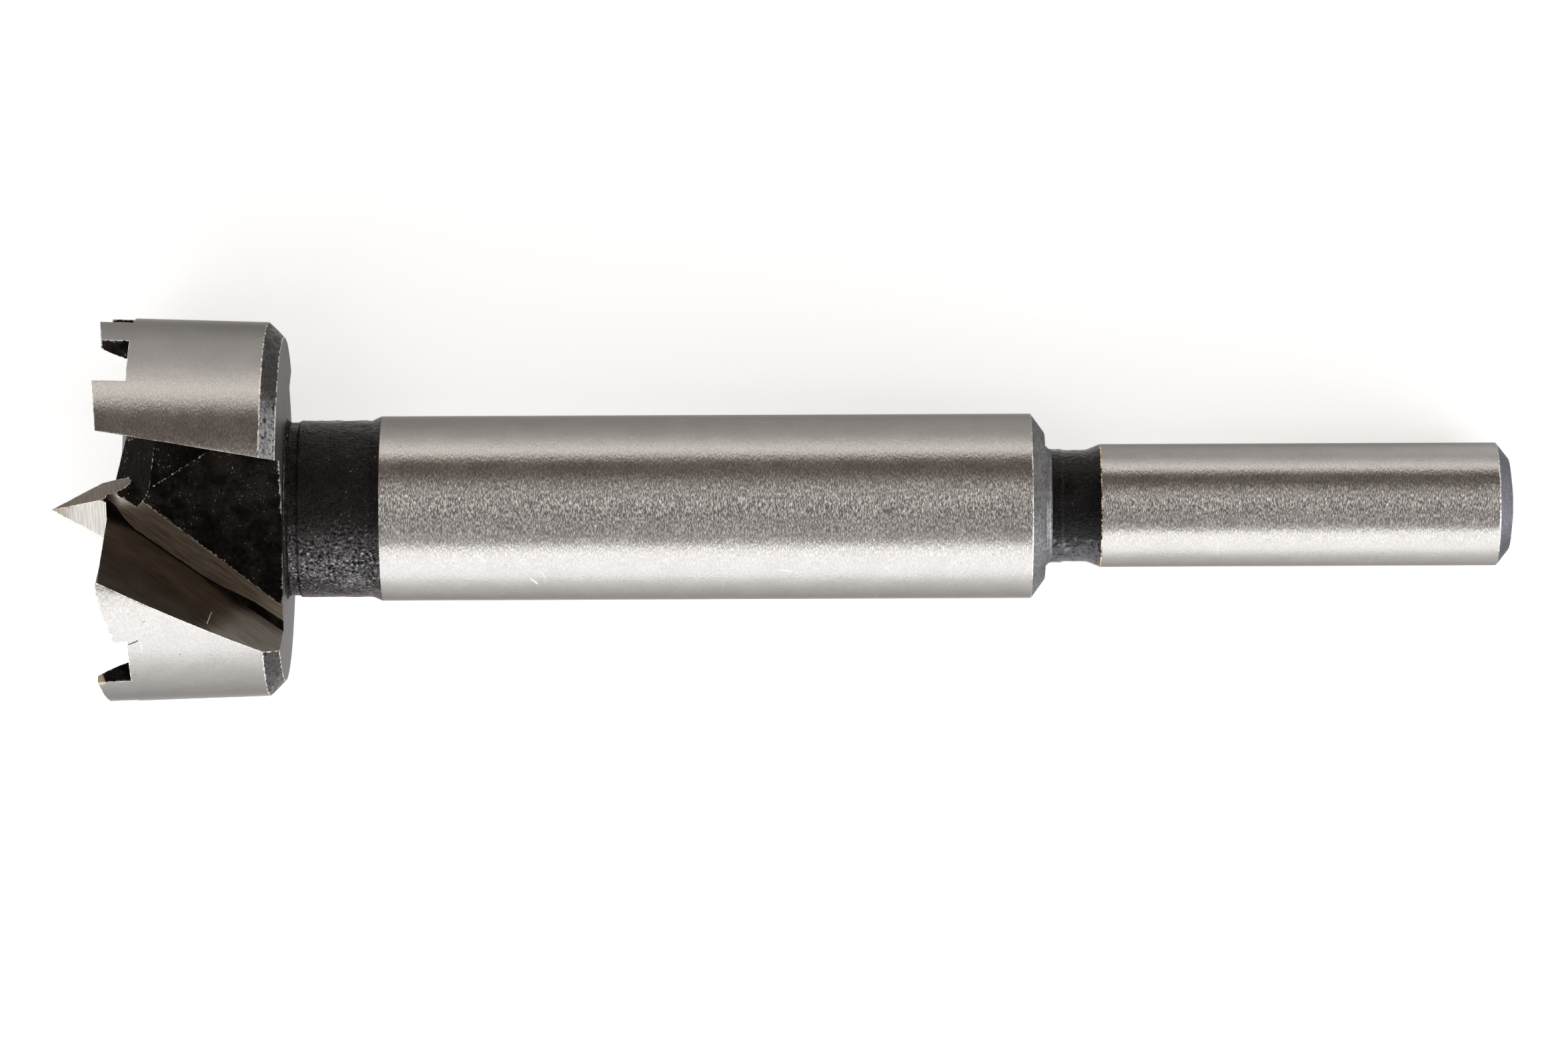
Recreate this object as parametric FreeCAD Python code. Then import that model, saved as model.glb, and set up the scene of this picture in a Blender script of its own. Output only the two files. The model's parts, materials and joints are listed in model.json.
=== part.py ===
"""Forstner bit for wood, forged, turned and ground from one piece of steel."""
import FreeCAD, Part
import math
import os

# Driving dimensions, in millimetres and degrees.
# Lengths along the bit run from the tip of the centre point towards the shank.

# Head
HEAD_DIAMETER = 25.0
RIM_TAPER = 1.85            # the rim narrows towards the back, so that it runs free in the hole
HEAD_LENGTH = 11.75         # from the rim teeth to the back face
BACK_CHAMFER = 1.0
BACK_DRAFT = 0.15           # the back face bulges this much towards the neck

# Centre point: a four-sided pyramid on a round core
POINT_REACH = 3.5           # how far the tip stands ahead of the rim teeth
POINT_ANGLE = 43.0
POINT_TURN = 19.2           # turn of the pyramid's corners about the axis
CORE_DIAMETER = 3.8         # where the cutting edges start
CORE_TAPER = 7.0

# Cutting lips
EDGE_SETBACK = 0.22         # the cutting edges lie this far behind the rim teeth
EDGE_CONE = 1.1             # the edges fall back a little towards the rim
EDGE_TURN = -22.0           # direction of the near cutting edge
RAKE_ANGLE = 28.0
RELIEF_ANGLE = 14.5
LAND_WIDTH = 3.8
LAND_BACK_ANGLE = 52.0
RECESS_DEPTH = 3.4          # hollow between lip and rim, behind the teeth

# Rim teeth
TOOTH_WALL = 0.45
NOTCH_WALL = 1.5            # the rim is thicker at the bottom of the notches
RIM_HOLLOW = 0.08           # how far the inside of the teeth curves in
RIM_DRAFT = 17.0            # slope of the rim's inside below the notches
NOTCH_DEPTH = 2.15
NOTCH_ANGLE = 19.5
NOTCHES = (41.3, 76.5, 117.4)   # where each notch of the upper half starts
TOOTH_RELIEF = 5.6
LIP_CLEARANCE = 5.0         # the rim stays cut back this far past the cutting edge's corner

# Chip gullets: one wall ends the rim, and two ground faces meet in a groove
RIM_END_FRONT = 23.9
RIM_END_BACK = 15.5
GROOVE_ANGLE = 74.0
GROOVE_FRONT = 0.4          # where the bottom of the groove starts and ends, along the edge's direction
GROOVE_BACK = 6.0

# Forged facets of a gullet: height above the axis at the teeth, rise towards the shank, bank across
FRONT_FACET = (-1.66, 60.0, -18.0)
RIDGE_FACET = (1.15, 38.0, -11.5)
UPPER_FACET = (1.52, 22.0, 23.0)
LOWER_FACET = (1.64, 21.0, 14.0)

# Neck, body and shank
NECK_DIAMETER = 11.47
NECK_LENGTH = 6.3
NECK_GROOVE_DEPTH = 0.11
NECK_GROOVE_LENGTH = 1.0
NECK_FLARE = 0.6
BODY_DIAMETER = 12.0
BODY_LENGTH = 43.05
BODY_CHAMFER = 1.25         # measured inwards
BODY_CHAMFER_LENGTH = 0.9   # measured along the bit
COLLAR_DIAMETER = 7.38
COLLAR_LENGTH = 0.7
COLLAR_SLOPE = 0.2
THROAT_DIAMETER = 7.26
THROAT_LENGTH = 3.6
THROAT_SLOPE = 0.9          # the throat widens to the shank over this length
SHANK_DIAMETER = 8.0
SHANK_LENGTH = 26.85
SHANK_CHAMFER = 1.05
SHANK_CHAMFER_LENGTH = 0.84
ROOT_FILLET = 0.3
END_CROWN = 0.28            # the end face is slightly domed

# Stations along the bit
TEETH_AT = POINT_REACH
EDGE_AT = TEETH_AT + EDGE_SETBACK
NOTCH_FLOOR = TEETH_AT + NOTCH_DEPTH
RECESS_FLOOR = TEETH_AT + RECESS_DEPTH
BACK_AT = TEETH_AT + HEAD_LENGTH
CHAMFER_AT = BACK_AT - BACK_CHAMFER
NECK_END = BACK_AT + NECK_LENGTH
BODY_END = NECK_END + BODY_LENGTH
THROAT_END = BODY_END + THROAT_LENGTH
SHANK_END = THROAT_END + SHANK_LENGTH
SHANK_FACE_AT = SHANK_END - END_CROWN
SHANK_EDGE_AT = SHANK_FACE_AT - SHANK_CHAMFER_LENGTH

HEAD_RADIUS = HEAD_DIAMETER / 2
RIM_BACK_RADIUS = HEAD_RADIUS - (CHAMFER_AT - TEETH_AT) * math.tan(math.radians(RIM_TAPER))
CORE_RADIUS = CORE_DIAMETER / 2
REACH = 4 * HEAD_DIAMETER   # cutting blocks are larger than anything they cut
SETTLING_STEPS = 20         # the resting position is found step by step
MARGIN = 1.0                # cutting shapes start this far outside what they cut

AXIS = FreeCAD.Vector(1, 0, 0)
ORIGIN = FreeCAD.Vector(0, 0, 0)
NEAR = FreeCAD.Vector(0, 0, 1)


def across(angle, length=1.0):
    """A vector square to the axis, turned from the near side (+Z) upwards (+Y)."""
    turn = math.radians(angle)
    return FreeCAD.Vector(0, length * math.sin(turn), length * math.cos(turn))


def half_space(point, normal):
    """Everything on one side of a plane, as a large block on the normal's side."""
    block = Part.makeBox(REACH, REACH, REACH, FreeCAD.Vector(-REACH / 2, -REACH / 2, 0))
    block.Placement = FreeCAD.Placement(point, FreeCAD.Rotation(NEAR, normal))
    return block


def beyond(station):
    """Everything on the shank's side of a station along the bit."""
    return half_space(FreeCAD.Vector(station, 0, 0), AXIS)


def before(station):
    """Everything on the tip's side of a station along the bit."""
    return half_space(FreeCAD.Vector(station, 0, 0), -AXIS)


def overlap(*solids):
    """The space that all the given solids share."""
    shared = solids[0]
    for solid in solids[1:]:
        shared = shared.common(solid)
    return shared


def both_halves(solid):
    """The solid and its copy on the other side of the axis."""
    other = solid.copy()
    other.rotate(ORIGIN, AXIS, 180)
    return [solid, other]


def turned(edges):
    """A solid turned about the axis from edges that start and end on it."""
    closing = Part.makeLine(edges[-1].lastVertex().Point, edges[0].firstVertex().Point)
    return Part.Face(Part.Wire(edges + [closing])).revolve(ORIGIN, AXIS, 360)


def path(*points):
    """Straight edges through points given as (along, radius)."""
    corners = [FreeCAD.Vector(along, 0, radius) for along, radius in points]
    return [Part.makeLine(start, end) for start, end in zip(corners, corners[1:])]


def arc(*points):
    """An arc through three points given as (along, radius)."""
    return [Part.Arc(*[FreeCAD.Vector(along, 0, radius) for along, radius in points]).toShape()]


def dome(top, radius, height):
    """The outline of a cap of a sphere about the axis, from its rim to its top."""
    sphere = (radius ** 2 + height ** 2) / (2 * height)
    halfway = math.asin(radius / sphere) / 2
    middle = (top - sphere * (1 - math.cos(halfway)), sphere * math.sin(halfway))
    return arc((top - height, radius), middle, (top, 0))


def root_fillet(station, radius):
    """The rounded inner corner from a face at a station down to a smaller radius."""
    bend = ROOT_FILLET * (1 - math.sqrt(0.5))
    return arc((station, radius + ROOT_FILLET), (station + bend, radius + bend),
               (station + ROOT_FILLET, radius))


def head_outline():
    """The outline of a full round head, from its front face to the foot of its back face."""
    groove = NECK_DIAMETER / 2 - NECK_GROOVE_DEPTH
    face_end = BACK_AT + BACK_DRAFT
    outline = path(
        (TEETH_AT, 0), (TEETH_AT, HEAD_RADIUS), (CHAMFER_AT, RIM_BACK_RADIUS),
        (BACK_AT, RIM_BACK_RADIUS - BACK_CHAMFER), (face_end, groove + ROOT_FILLET))
    return outline + root_fillet(face_end, groove)


def neck_and_body_outline():
    """The outline from the groove behind the head to the foot of the body's end face."""
    neck = NECK_DIAMETER / 2
    groove = neck - NECK_GROOVE_DEPTH
    groove_end = BACK_AT + NECK_GROOVE_LENGTH
    body = BODY_DIAMETER / 2
    collar = COLLAR_DIAMETER / 2
    outline = path(
        (BACK_AT + BACK_DRAFT + ROOT_FILLET, groove), (groove_end, groove),
        (groove_end + NECK_GROOVE_DEPTH, neck), (NECK_END - NECK_FLARE, neck), (NECK_END, body),
        (BODY_END - BODY_CHAMFER_LENGTH, body), (BODY_END, body - BODY_CHAMFER),
        (BODY_END, collar + ROOT_FILLET))
    return outline + root_fillet(BODY_END, collar)


def shank_outline():
    """The outline from the collar behind the body to the middle of the domed end."""
    collar = COLLAR_DIAMETER / 2
    collar_end = BODY_END + ROOT_FILLET + COLLAR_LENGTH
    throat = THROAT_DIAMETER / 2
    shank = SHANK_DIAMETER / 2
    end_face = shank - SHANK_CHAMFER
    outline = path(
        (BODY_END + ROOT_FILLET, collar), (collar_end, collar), (collar_end + COLLAR_SLOPE, throat),
        (THROAT_END - THROAT_SLOPE, throat), (THROAT_END, shank), (SHANK_EDGE_AT, shank),
        (SHANK_FACE_AT, end_face))
    return outline + dome(SHANK_END, end_face, END_CROWN)


def blank():
    """The turned form of the whole bit, with a full round head."""
    return turned(head_outline() + neck_and_body_outline() + shank_outline())


def edge_direction():
    """Direction of the near cutting edge, outwards from the axis."""
    cone = math.radians(EDGE_CONE)
    return AXIS * math.sin(cone) + across(EDGE_TURN) * math.cos(cone)


def behind_edge():
    """Direction square to the axis and the near edge, from the edge into its lip."""
    return across(EDGE_TURN - 90)


def forwards(normal):
    """The normal, turned to point towards the tip."""
    return normal if normal.x < 0 else -normal


def ahead_of_lip(point, fall):
    """Everything ahead of a lip's face through a point, which falls back at an angle behind the edge."""
    fall = math.radians(fall)
    backwards = AXIS * math.sin(fall) + behind_edge() * math.cos(fall)
    return half_space(point, forwards(backwards.cross(edge_direction())))


def relief_cut():
    """Everything ahead of a lip's relieved face, from just before its edge."""
    start = half_space(-behind_edge() * MARGIN, behind_edge())
    return ahead_of_lip(AXIS * EDGE_AT, RELIEF_ANGLE).common(start)


def rim_inside():
    """The hollow inside the toothed rim, whose wall grows thicker towards the notches' floor."""
    mouth = HEAD_RADIUS - TOOTH_WALL
    waist = HEAD_RADIUS - NOTCH_WALL
    floor_radius = waist - (RECESS_FLOOR - NOTCH_FLOOR) * math.tan(math.radians(RIM_DRAFT))
    middle = (TEETH_AT + NOTCH_DEPTH / 2, (mouth + waist) / 2 - RIM_HOLLOW)
    outline = path((TEETH_AT - MARGIN, 0), (TEETH_AT - MARGIN, mouth), (TEETH_AT, mouth))
    outline += arc((TEETH_AT, mouth), middle, (NOTCH_FLOOR, waist))
    outline += path((NOTCH_FLOOR, waist), (RECESS_FLOOR, floor_radius), (RECESS_FLOOR, 0))
    return turned(outline)


def recess_cut():
    """The hollow of one half: over the lip's land, and deeper between the land and the rim."""
    land_end = behind_edge() * LAND_WIDTH
    drop = AXIS * (EDGE_AT + LAND_WIDTH * math.tan(math.radians(RELIEF_ANGLE)))
    land = relief_cut().common(half_space(land_end, -behind_edge()))
    deep = ahead_of_lip(drop + land_end, LAND_BACK_ANGLE).common(half_space(land_end, behind_edge()))
    return rim_inside().common(land.fuse(deep))


def rim_sector(start, end, back):
    """A block of the rim between two angles, from in front of the teeth back to a station."""
    inner = HEAD_RADIUS - NOTCH_WALL - MARGIN
    outer = HEAD_RADIUS + MARGIN
    front = TEETH_AT - MARGIN
    corners = [AXIS * front + across(start, inner), AXIS * front + across(start, outer),
               AXIS * back + across(start, outer), AXIS * back + across(start, inner)]
    face = Part.Face(Part.makePolygon(corners + corners[:1]))
    return face.revolve(ORIGIN, -AXIS, end - start)


def tooth_relief(notch):
    """What slopes a tooth back from the scoring corner beside the notch that starts at an angle."""
    relief = math.radians(TOOTH_RELIEF)
    lead = across(notch)
    fall = AXIS * math.sin(relief) + across(notch - 90) * math.cos(relief)
    return half_space(AXIS * TEETH_AT + lead * HEAD_RADIUS, forwards(fall.cross(lead)))


def notch_cuts():
    """The notches of one half, and the relief of the tooth before each."""
    cuts = []
    gap_before = RIM_END_FRONT - NOTCH_ANGLE
    for notch in NOTCHES:
        cuts.append(rim_sector(notch, notch + NOTCH_ANGLE, NOTCH_FLOOR))
        tooth = rim_sector(gap_before + NOTCH_ANGLE / 2, notch, NOTCH_FLOOR)
        cuts.append(tooth.common(tooth_relief(notch)))
        gap_before = notch
    return cuts


def lip_end():
    """What cuts the rim down to the far lip's relieved face, after the last notch."""
    corner = 180 + EDGE_TURN
    lip = rim_sector(NOTCHES[-1] + NOTCH_ANGLE, corner + LIP_CLEARANCE, RECESS_FLOOR)
    far_relief = both_halves(relief_cut())[1]
    return lip.common(far_relief)


def above(facet):
    """Everything above a forged facet of the near gullet."""
    height, rise, bank = facet
    normal = FreeCAD.Vector(-math.tan(math.radians(rise)), -math.tan(math.radians(bank)), 1)
    return half_space(FreeCAD.Vector(TEETH_AT, 0, height), normal)


def rake_side():
    """Everything in front of the near lip's ground rake face."""
    rake = math.radians(RAKE_ANGLE)
    down_the_rake = AXIS * math.cos(rake) + behind_edge() * math.sin(rake)
    return half_space(AXIS * EDGE_AT, edge_direction().cross(down_the_rake))


def groove_point(station, outward):
    """A point of the groove's bottom, on the rake face."""
    down = (station - EDGE_AT) * math.tan(math.radians(RAKE_ANGLE))
    return AXIS * station + across(EDGE_TURN, outward) + behind_edge() * down


def groove_side():
    """Everything above the second ground face, which meets the rake face in the groove."""
    start = groove_point(EDGE_AT, GROOVE_FRONT)
    end = groove_point(BACK_AT, GROOVE_BACK)
    slope = across(EDGE_TURN + GROOVE_ANGLE)
    return half_space(start, (end - start).cross(slope))


def rim_end():
    """Everything below the wall that ends the upper rim at the near gullet."""
    front = AXIS * TEETH_AT + across(RIM_END_FRONT, HEAD_RADIUS)
    back = AXIS * CHAMFER_AT + across(RIM_END_BACK, RIM_BACK_RADIUS)
    return half_space(front, (back - front).cross(NEAR))


def forged_gullet():
    """The near gullet as forged, before its lip is ground."""
    floor = overlap(above(UPPER_FACET), above(LOWER_FACET))
    space = floor.fuse([above(RIDGE_FACET), above(FRONT_FACET)])
    return overlap(space, rake_side(), rim_end(), before(NECK_END))


def ground_groove():
    """What grinding the rake face and the face beside it takes away."""
    return overlap(rake_side(), groove_side(), rim_end(), beyond(EDGE_AT), before(NECK_END))


def centre_point():
    """The ground pyramid and the round core behind it."""
    taper = math.tan(math.radians(CORE_TAPER))
    core = Part.makeCone(CORE_RADIUS - EDGE_AT * taper, CORE_RADIUS + (RECESS_FLOOR - EDGE_AT) * taper,
                         RECESS_FLOOR, ORIGIN, AXIS)
    for side in range(4):
        out = across(POINT_TURN + 45 + 90 * side)
        lean = math.radians(POINT_ANGLE / 2)
        core = core.common(half_space(ORIGIN, AXIS * math.sin(lean) - out * math.cos(lean)))
    return core


def forstner_bit():
    """The whole bit along its own axis, with its tip at the origin."""
    bit = blank()
    for cut in [recess_cut(), forged_gullet(), lip_end()] + notch_cuts():
        bit = bit.cut(both_halves(cut))
    bit = bit.fuse(centre_point())
    bit = bit.cut(both_halves(ground_groove()))
    return bit.removeSplitter()


def supports():
    """The two corners of the head that the bit lies on."""
    rim_corner = AXIS * CHAMFER_AT + across(180 + RIM_END_BACK, RIM_BACK_RADIUS)
    lip_at = EDGE_AT + HEAD_RADIUS * math.sin(math.radians(EDGE_CONE))
    lip_radius = HEAD_RADIUS - (lip_at - TEETH_AT) * math.tan(math.radians(RIM_TAPER))
    lip_corner = AXIS * lip_at + across(180 + EDGE_TURN, lip_radius)
    return rim_corner, lip_corner


def resting_up():
    """The direction that points up when the bit lies on its head's two corners and its shank's edge."""
    rim_corner, lip_corner = supports()
    up = NEAR
    for _ in range(SETTLING_STEPS):
        outwards = (up - AXIS * up.dot(AXIS)).normalize()
        shank_edge = AXIS * SHANK_EDGE_AT - outwards * (SHANK_DIAMETER / 2)
        up = (rim_corner - shank_edge).cross(lip_corner - shank_edge).normalize()
        up = up if up.z > 0 else -up
    return up


def laid_down(bit):
    """The bit as it lies on a flat surface, with its tip towards -X and the origin under its middle."""
    up = resting_up()
    side = up.cross(AXIS).normalize()
    turn = FreeCAD.Rotation(side.cross(up), side, up, "ZYX").inverted()
    bit.Placement = FreeCAD.Placement(ORIGIN, turn)
    box = bit.optimalBoundingBox(False, False)
    bit.Placement = FreeCAD.Placement(FreeCAD.Vector(-box.Center.x, -box.Center.y, -box.ZMin), turn)
    return bit


os.makedirs("parts", exist_ok=True)
shape = laid_down(forstner_bit())
print("solids", len(shape.Solids), "valid", shape.isValid(), "volume", round(shape.Volume, 1))
shape.exportStep("parts/forstner_bit.step")
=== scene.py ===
"""A forstner bit for wood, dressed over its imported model.

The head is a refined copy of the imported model's head, and the neck, body and shank are surfaces of
revolution. Sizes are millimetres in the bit's own coordinates: x runs from the tip of the centre point
along the axis, and y and z are square to it, with z out of the near chip gullet. One placement then
lays every mesh down in the frame, in metres.
"""
import itertools
import json
import logging
import math
from collections.abc import Callable
from dataclasses import dataclass, field, replace
from enum import Enum
from typing import Protocol

import bpy
import numpy as np
from mathutils import Matrix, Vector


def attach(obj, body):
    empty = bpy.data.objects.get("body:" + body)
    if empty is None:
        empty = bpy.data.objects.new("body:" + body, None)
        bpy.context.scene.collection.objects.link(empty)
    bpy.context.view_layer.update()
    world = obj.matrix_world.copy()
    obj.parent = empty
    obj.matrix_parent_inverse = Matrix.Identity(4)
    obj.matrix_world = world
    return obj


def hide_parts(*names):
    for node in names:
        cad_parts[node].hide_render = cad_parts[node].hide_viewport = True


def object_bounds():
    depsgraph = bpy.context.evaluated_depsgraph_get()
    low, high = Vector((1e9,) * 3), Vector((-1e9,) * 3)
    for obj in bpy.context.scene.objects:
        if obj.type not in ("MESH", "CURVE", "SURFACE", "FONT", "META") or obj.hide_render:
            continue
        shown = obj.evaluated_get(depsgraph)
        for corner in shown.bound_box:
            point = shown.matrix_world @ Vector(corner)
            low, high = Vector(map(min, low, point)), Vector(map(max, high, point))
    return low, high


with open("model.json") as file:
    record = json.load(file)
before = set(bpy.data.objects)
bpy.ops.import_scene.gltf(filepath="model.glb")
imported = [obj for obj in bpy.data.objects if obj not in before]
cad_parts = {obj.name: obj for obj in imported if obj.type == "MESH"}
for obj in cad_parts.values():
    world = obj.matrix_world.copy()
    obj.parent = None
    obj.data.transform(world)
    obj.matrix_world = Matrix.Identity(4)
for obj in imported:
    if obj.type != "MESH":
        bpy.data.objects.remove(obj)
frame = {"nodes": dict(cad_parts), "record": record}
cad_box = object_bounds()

NODE = "forstner_bit"
MM = 0.001
TINY = 1e-12
AXIS = np.array([1.0, 0.0, 0.0])
UP = np.array([0.0, 1.0, 0.0])
NEAR = np.array([0.0, 0.0, 1.0])

LATTICE_FACTORS = np.array([73856093, 19349663, 83492791])
SEED_FACTOR = 97531
MIX_FACTOR = 1274126177
LOW_BITS = 0xFFFF
SIDES = [[0, 1], [1, 2], [2, 0]]
FLATNESS = 20.0
FAR_FROM_EDGE = 2.0
ROUNDING_STEPS = 6
JOINT_AT = 15.7

log = logging.getLogger(NODE)


class Finish(Enum):
    """The finishes of the bit. A finish's value is the name of its material."""

    RIM = "ground_rim"
    LAND = "ground_land"
    RAKE = "ground_rake"
    GROOVE = "ground_groove"
    POINT = "ground_point"
    POINT_FLANK = "ground_point_flank"
    FORGED = "forged_skin"
    BACK_BEVEL = "forged_back_bevel"
    BACK = "turned_back"
    NECK = "forged_neck"
    BODY = "ground_body"
    SHOULDER = "turned_shoulder"
    THROAT = "turned_throat"
    SHANK_END = "tinted_shank_end"
    HIDDEN = "hidden_joint"


@dataclass(frozen=True)
class HeadSizes:
    """Sizes of the cutting head, in millimetres and degrees."""

    radius: float = 12.5
    teeth_at: float = 3.5
    chamfer_at: float = 14.25
    back_at: float = 15.25
    rim_taper: float = 1.85
    tooth_height: float = 0.6
    tooth_reach: float = 1.0
    edge_at: float = 3.72
    edge_cone: float = 1.1
    edge_turn: float = -22.0
    rake_angle: float = 28.0
    relief_angle: float = 14.5
    groove_angle: float = 74.0
    groove_front: float = 0.4
    groove_back: float = 6.0
    point_angle: float = 43.0
    point_turn: float = 19.2

    def rim_radius(self, station: np.ndarray) -> np.ndarray:
        """Radius of the tapered rim: r = radius - (x - teeth_at) * tan(rim_taper)."""
        return self.radius - (station - self.teeth_at) * math.tan(math.radians(self.rim_taper))


@dataclass(frozen=True)
class Plane:
    """A ground face: a point on it, its outward normal, and the direction of its grinding lines."""

    point: np.ndarray
    normal: np.ndarray
    lines: np.ndarray

    def other_half(self) -> "Plane":
        """The same face on the other half of the head, turned half way round the axis."""
        flip = np.array([1.0, -1.0, -1.0])
        return Plane(self.point * flip, self.normal * flip, self.lines * flip)

    def holds(self, centres: np.ndarray, normals: np.ndarray, reach: float = 0.02) -> np.ndarray:
        """Which triangles lie on the plane.

        Args:
            centres: Middle of each triangle.
            normals: Outward normal of each triangle.
            reach: Largest distance from the plane, in millimetres.

        Returns:
            True for each triangle within reach of the plane that faces its way. With a reach of r, the
            cosine of the angle between the two normals is over 1 - r / FLATNESS.
        """
        near = np.abs((centres - self.point) @ self.normal) < reach
        return near & (normals @ self.normal > 1 - reach / FLATNESS)

    def grain(self, points: np.ndarray) -> np.ndarray:
        """Coordinates on the face: across its lines, along them, and out of the face."""
        across_lines = np.cross(self.lines, self.normal)
        return (points - self.point) @ np.stack([across_lines, self.lines, self.normal], axis=1)


def number(finish: Finish) -> int:
    """The place of a finish in the list of all."""
    return list(Finish).index(finish)


def numbers(*finishes: Finish) -> list[int]:
    """The places of some finishes in the list of all."""
    return [number(finish) for finish in finishes]


def unit(vector: np.ndarray) -> np.ndarray:
    """The vector at length one."""
    return vector / np.linalg.norm(vector)


def units(vectors: np.ndarray) -> np.ndarray:
    """The vector in each row at length one, unless it has hardly any length."""
    return vectors / np.maximum(np.linalg.norm(vectors, axis=1, keepdims=True), TINY)


def across(angle: float, length: float = 1.0) -> np.ndarray:
    """A vector square to the axis, turned by an angle from the near side upwards."""
    turn = math.radians(angle)
    return np.array([0.0, length * math.sin(turn), length * math.cos(turn)])


def lattice(cells: np.ndarray, seed: int) -> np.ndarray:
    """A number from 0 to 1 for each cell of a lattice, from an integer hash of its three indices.

    Args:
        cells: Three whole numbers per row.
        seed: Picks one of many lattices.

    Returns:
        One number for each cell.
    """
    mixed = np.bitwise_xor.reduce(cells * LATTICE_FACTORS, axis=1)
    mixed = (mixed ^ (seed * SEED_FACTOR) ^ (mixed >> 13)) * MIX_FACTOR
    return ((mixed ^ (mixed >> 16)) & LOW_BITS) / LOW_BITS


def noise(points: np.ndarray, size: float, seed: int) -> np.ndarray:
    """Smooth noise from -1 to 1.

    The eight lattice numbers round a point are blended with weights w = t * t * (3 - 2 * t) along
    each direction, where t is the point's place inside its cell.

    Args:
        points: Places, one per row.
        size: Edge of a lattice cell, in millimetres.
        seed: Picks one of many lattices.

    Returns:
        One value for each place.
    """
    scaled = points / size
    cells = np.floor(scaled).astype(np.int64)
    inside = scaled - cells
    blend = inside * inside * (3 - 2 * inside)
    total = np.zeros(len(points))
    for corner in itertools.product((0, 1), repeat=3):
        weight = np.prod(np.where(corner, blend, 1 - blend), axis=1)
        total += weight * lattice(cells + np.array(corner), seed)
    return 2 * total - 1


NoiseLayer = tuple[float, float, int]


def layered_noise(points: np.ndarray, layers: tuple[NoiseLayer, ...]) -> np.ndarray:
    """A weighted sum of noises, where each layer gives its weight, the size of its cells and its seed."""
    return sum(weight * noise(points, size, seed) for weight, size, seed in layers)


@dataclass
class Shell:
    """A closed triangle mesh in the bit's own coordinates, with a finish for each triangle."""

    points: np.ndarray
    triangles: np.ndarray
    finishes: np.ndarray
    edge: np.ndarray = field(default_factory=lambda: np.zeros(0))
    grain: np.ndarray = field(default_factory=lambda: np.zeros((0, 3)))

    def corners(self) -> np.ndarray:
        """The three corner points of every triangle."""
        return self.points[self.triangles]

    def area_normals(self) -> np.ndarray:
        """Outward normal of every triangle abc, as long as twice its area: (b - a) x (c - a)."""
        a, b, c = self.corners().transpose(1, 0, 2)
        return np.cross(b - a, c - a)

    def normals(self) -> np.ndarray:
        """Outward unit normal of every triangle."""
        return units(self.area_normals())

    def point_normals(self) -> np.ndarray:
        """Finds how the surface faces at its points.

        Returns:
            The mean outward normal at every point, weighted by the triangles' areas.
        """
        weighted = self.area_normals()
        total = np.zeros_like(self.points)
        for corner in range(3):
            np.add.at(total, self.triangles[:, corner], weighted)
        return units(total)

    def axis_distance(self) -> np.ndarray:
        """Distance of every point from the axis."""
        return np.hypot(self.points[:, 1], self.points[:, 2])

    def edges(self) -> tuple[np.ndarray, np.ndarray]:
        """Lists the edges.

        Returns:
            Every edge once, as two point numbers, and for each triangle the numbers of its three edges.
        """
        pairs = np.sort(self.triangles[:, SIDES].reshape(-1, 2), axis=1)
        keys = pairs[:, 0].astype(np.int64) * len(self.points) + pairs[:, 1]
        unique, inverse = np.unique(keys, return_inverse=True)
        return np.stack(np.divmod(unique, len(self.points)), axis=1), inverse.reshape(-1, 3)

    def sharp_edges(self, angle: float) -> tuple[np.ndarray, np.ndarray]:
        """Finds the outward edges where two faces meet at more than an angle.

        An edge stands outwards when the middle of one face lies under the plane of the other:
        (q - p) . n < 0, with p and n of the first face and q of the second.

        Args:
            angle: The least angle between the faces, in degrees.

        Returns:
            The edges' point numbers, and the finishes of their two faces.
        """
        edges, of_triangle = self.edges()
        order = np.argsort(of_triangle.ravel(), kind="stable") // 3
        ends = np.cumsum(np.bincount(of_triangle.ravel()))
        first, second = order[np.concatenate([[0], ends[:-1]])], order[ends - 1]
        normals, centres = self.normals(), self.corners().mean(axis=1)
        bent = (normals[first] * normals[second]).sum(axis=1) < math.cos(math.radians(angle))
        outward = ((centres[second] - centres[first]) * normals[first]).sum(axis=1) < 0
        found = bent & outward
        return edges[found], np.stack([self.finishes[first], self.finishes[second]], axis=1)[found]


def split_triangles(triangles: np.ndarray, middles: np.ndarray) -> tuple[np.ndarray, np.ndarray]:
    """Cuts triangles at the middles of their long edges.

    A triangle abc with middles m (of ab), n (of bc) and o (of ca) becomes two, three or four, by how
    many middles it has. Its corners are first rolled so that one middle is m, and two are m and n.

    Args:
        triangles: Three point numbers per row.
        middles: Number of the middle point of edges ab, bc and ca, or -1 where an edge stays.

    Returns:
        The new triangles, and for each the row of the triangle that it came from.
    """
    count = (middles >= 0).sum(axis=1)
    first = np.where(count == 1, np.argmax(middles >= 0, axis=1), 0)
    first = np.where(count == 2, (np.argmax(middles < 0, axis=1) + 1) % 3, first)
    order = (first[:, None] + np.arange(3)) % 3
    a, b, c = np.take_along_axis(triangles, order, axis=1).T
    m, n, o = np.take_along_axis(middles, order, axis=1).T
    patterns = {
        0: ((a, b, c),),
        1: ((a, m, c), (m, b, c)),
        2: ((m, b, n), (a, m, n), (a, n, c)),
        3: ((a, m, o), (m, b, n), (o, n, c), (m, n, o)),
    }
    made, parents = [], []
    for middles_count, pieces in patterns.items():
        rows = np.flatnonzero(count == middles_count)
        for piece in pieces:
            made.append(np.stack([corner[rows] for corner in piece], axis=1))
            parents.append(rows)
    return np.vstack(made), np.concatenate(parents)


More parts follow.
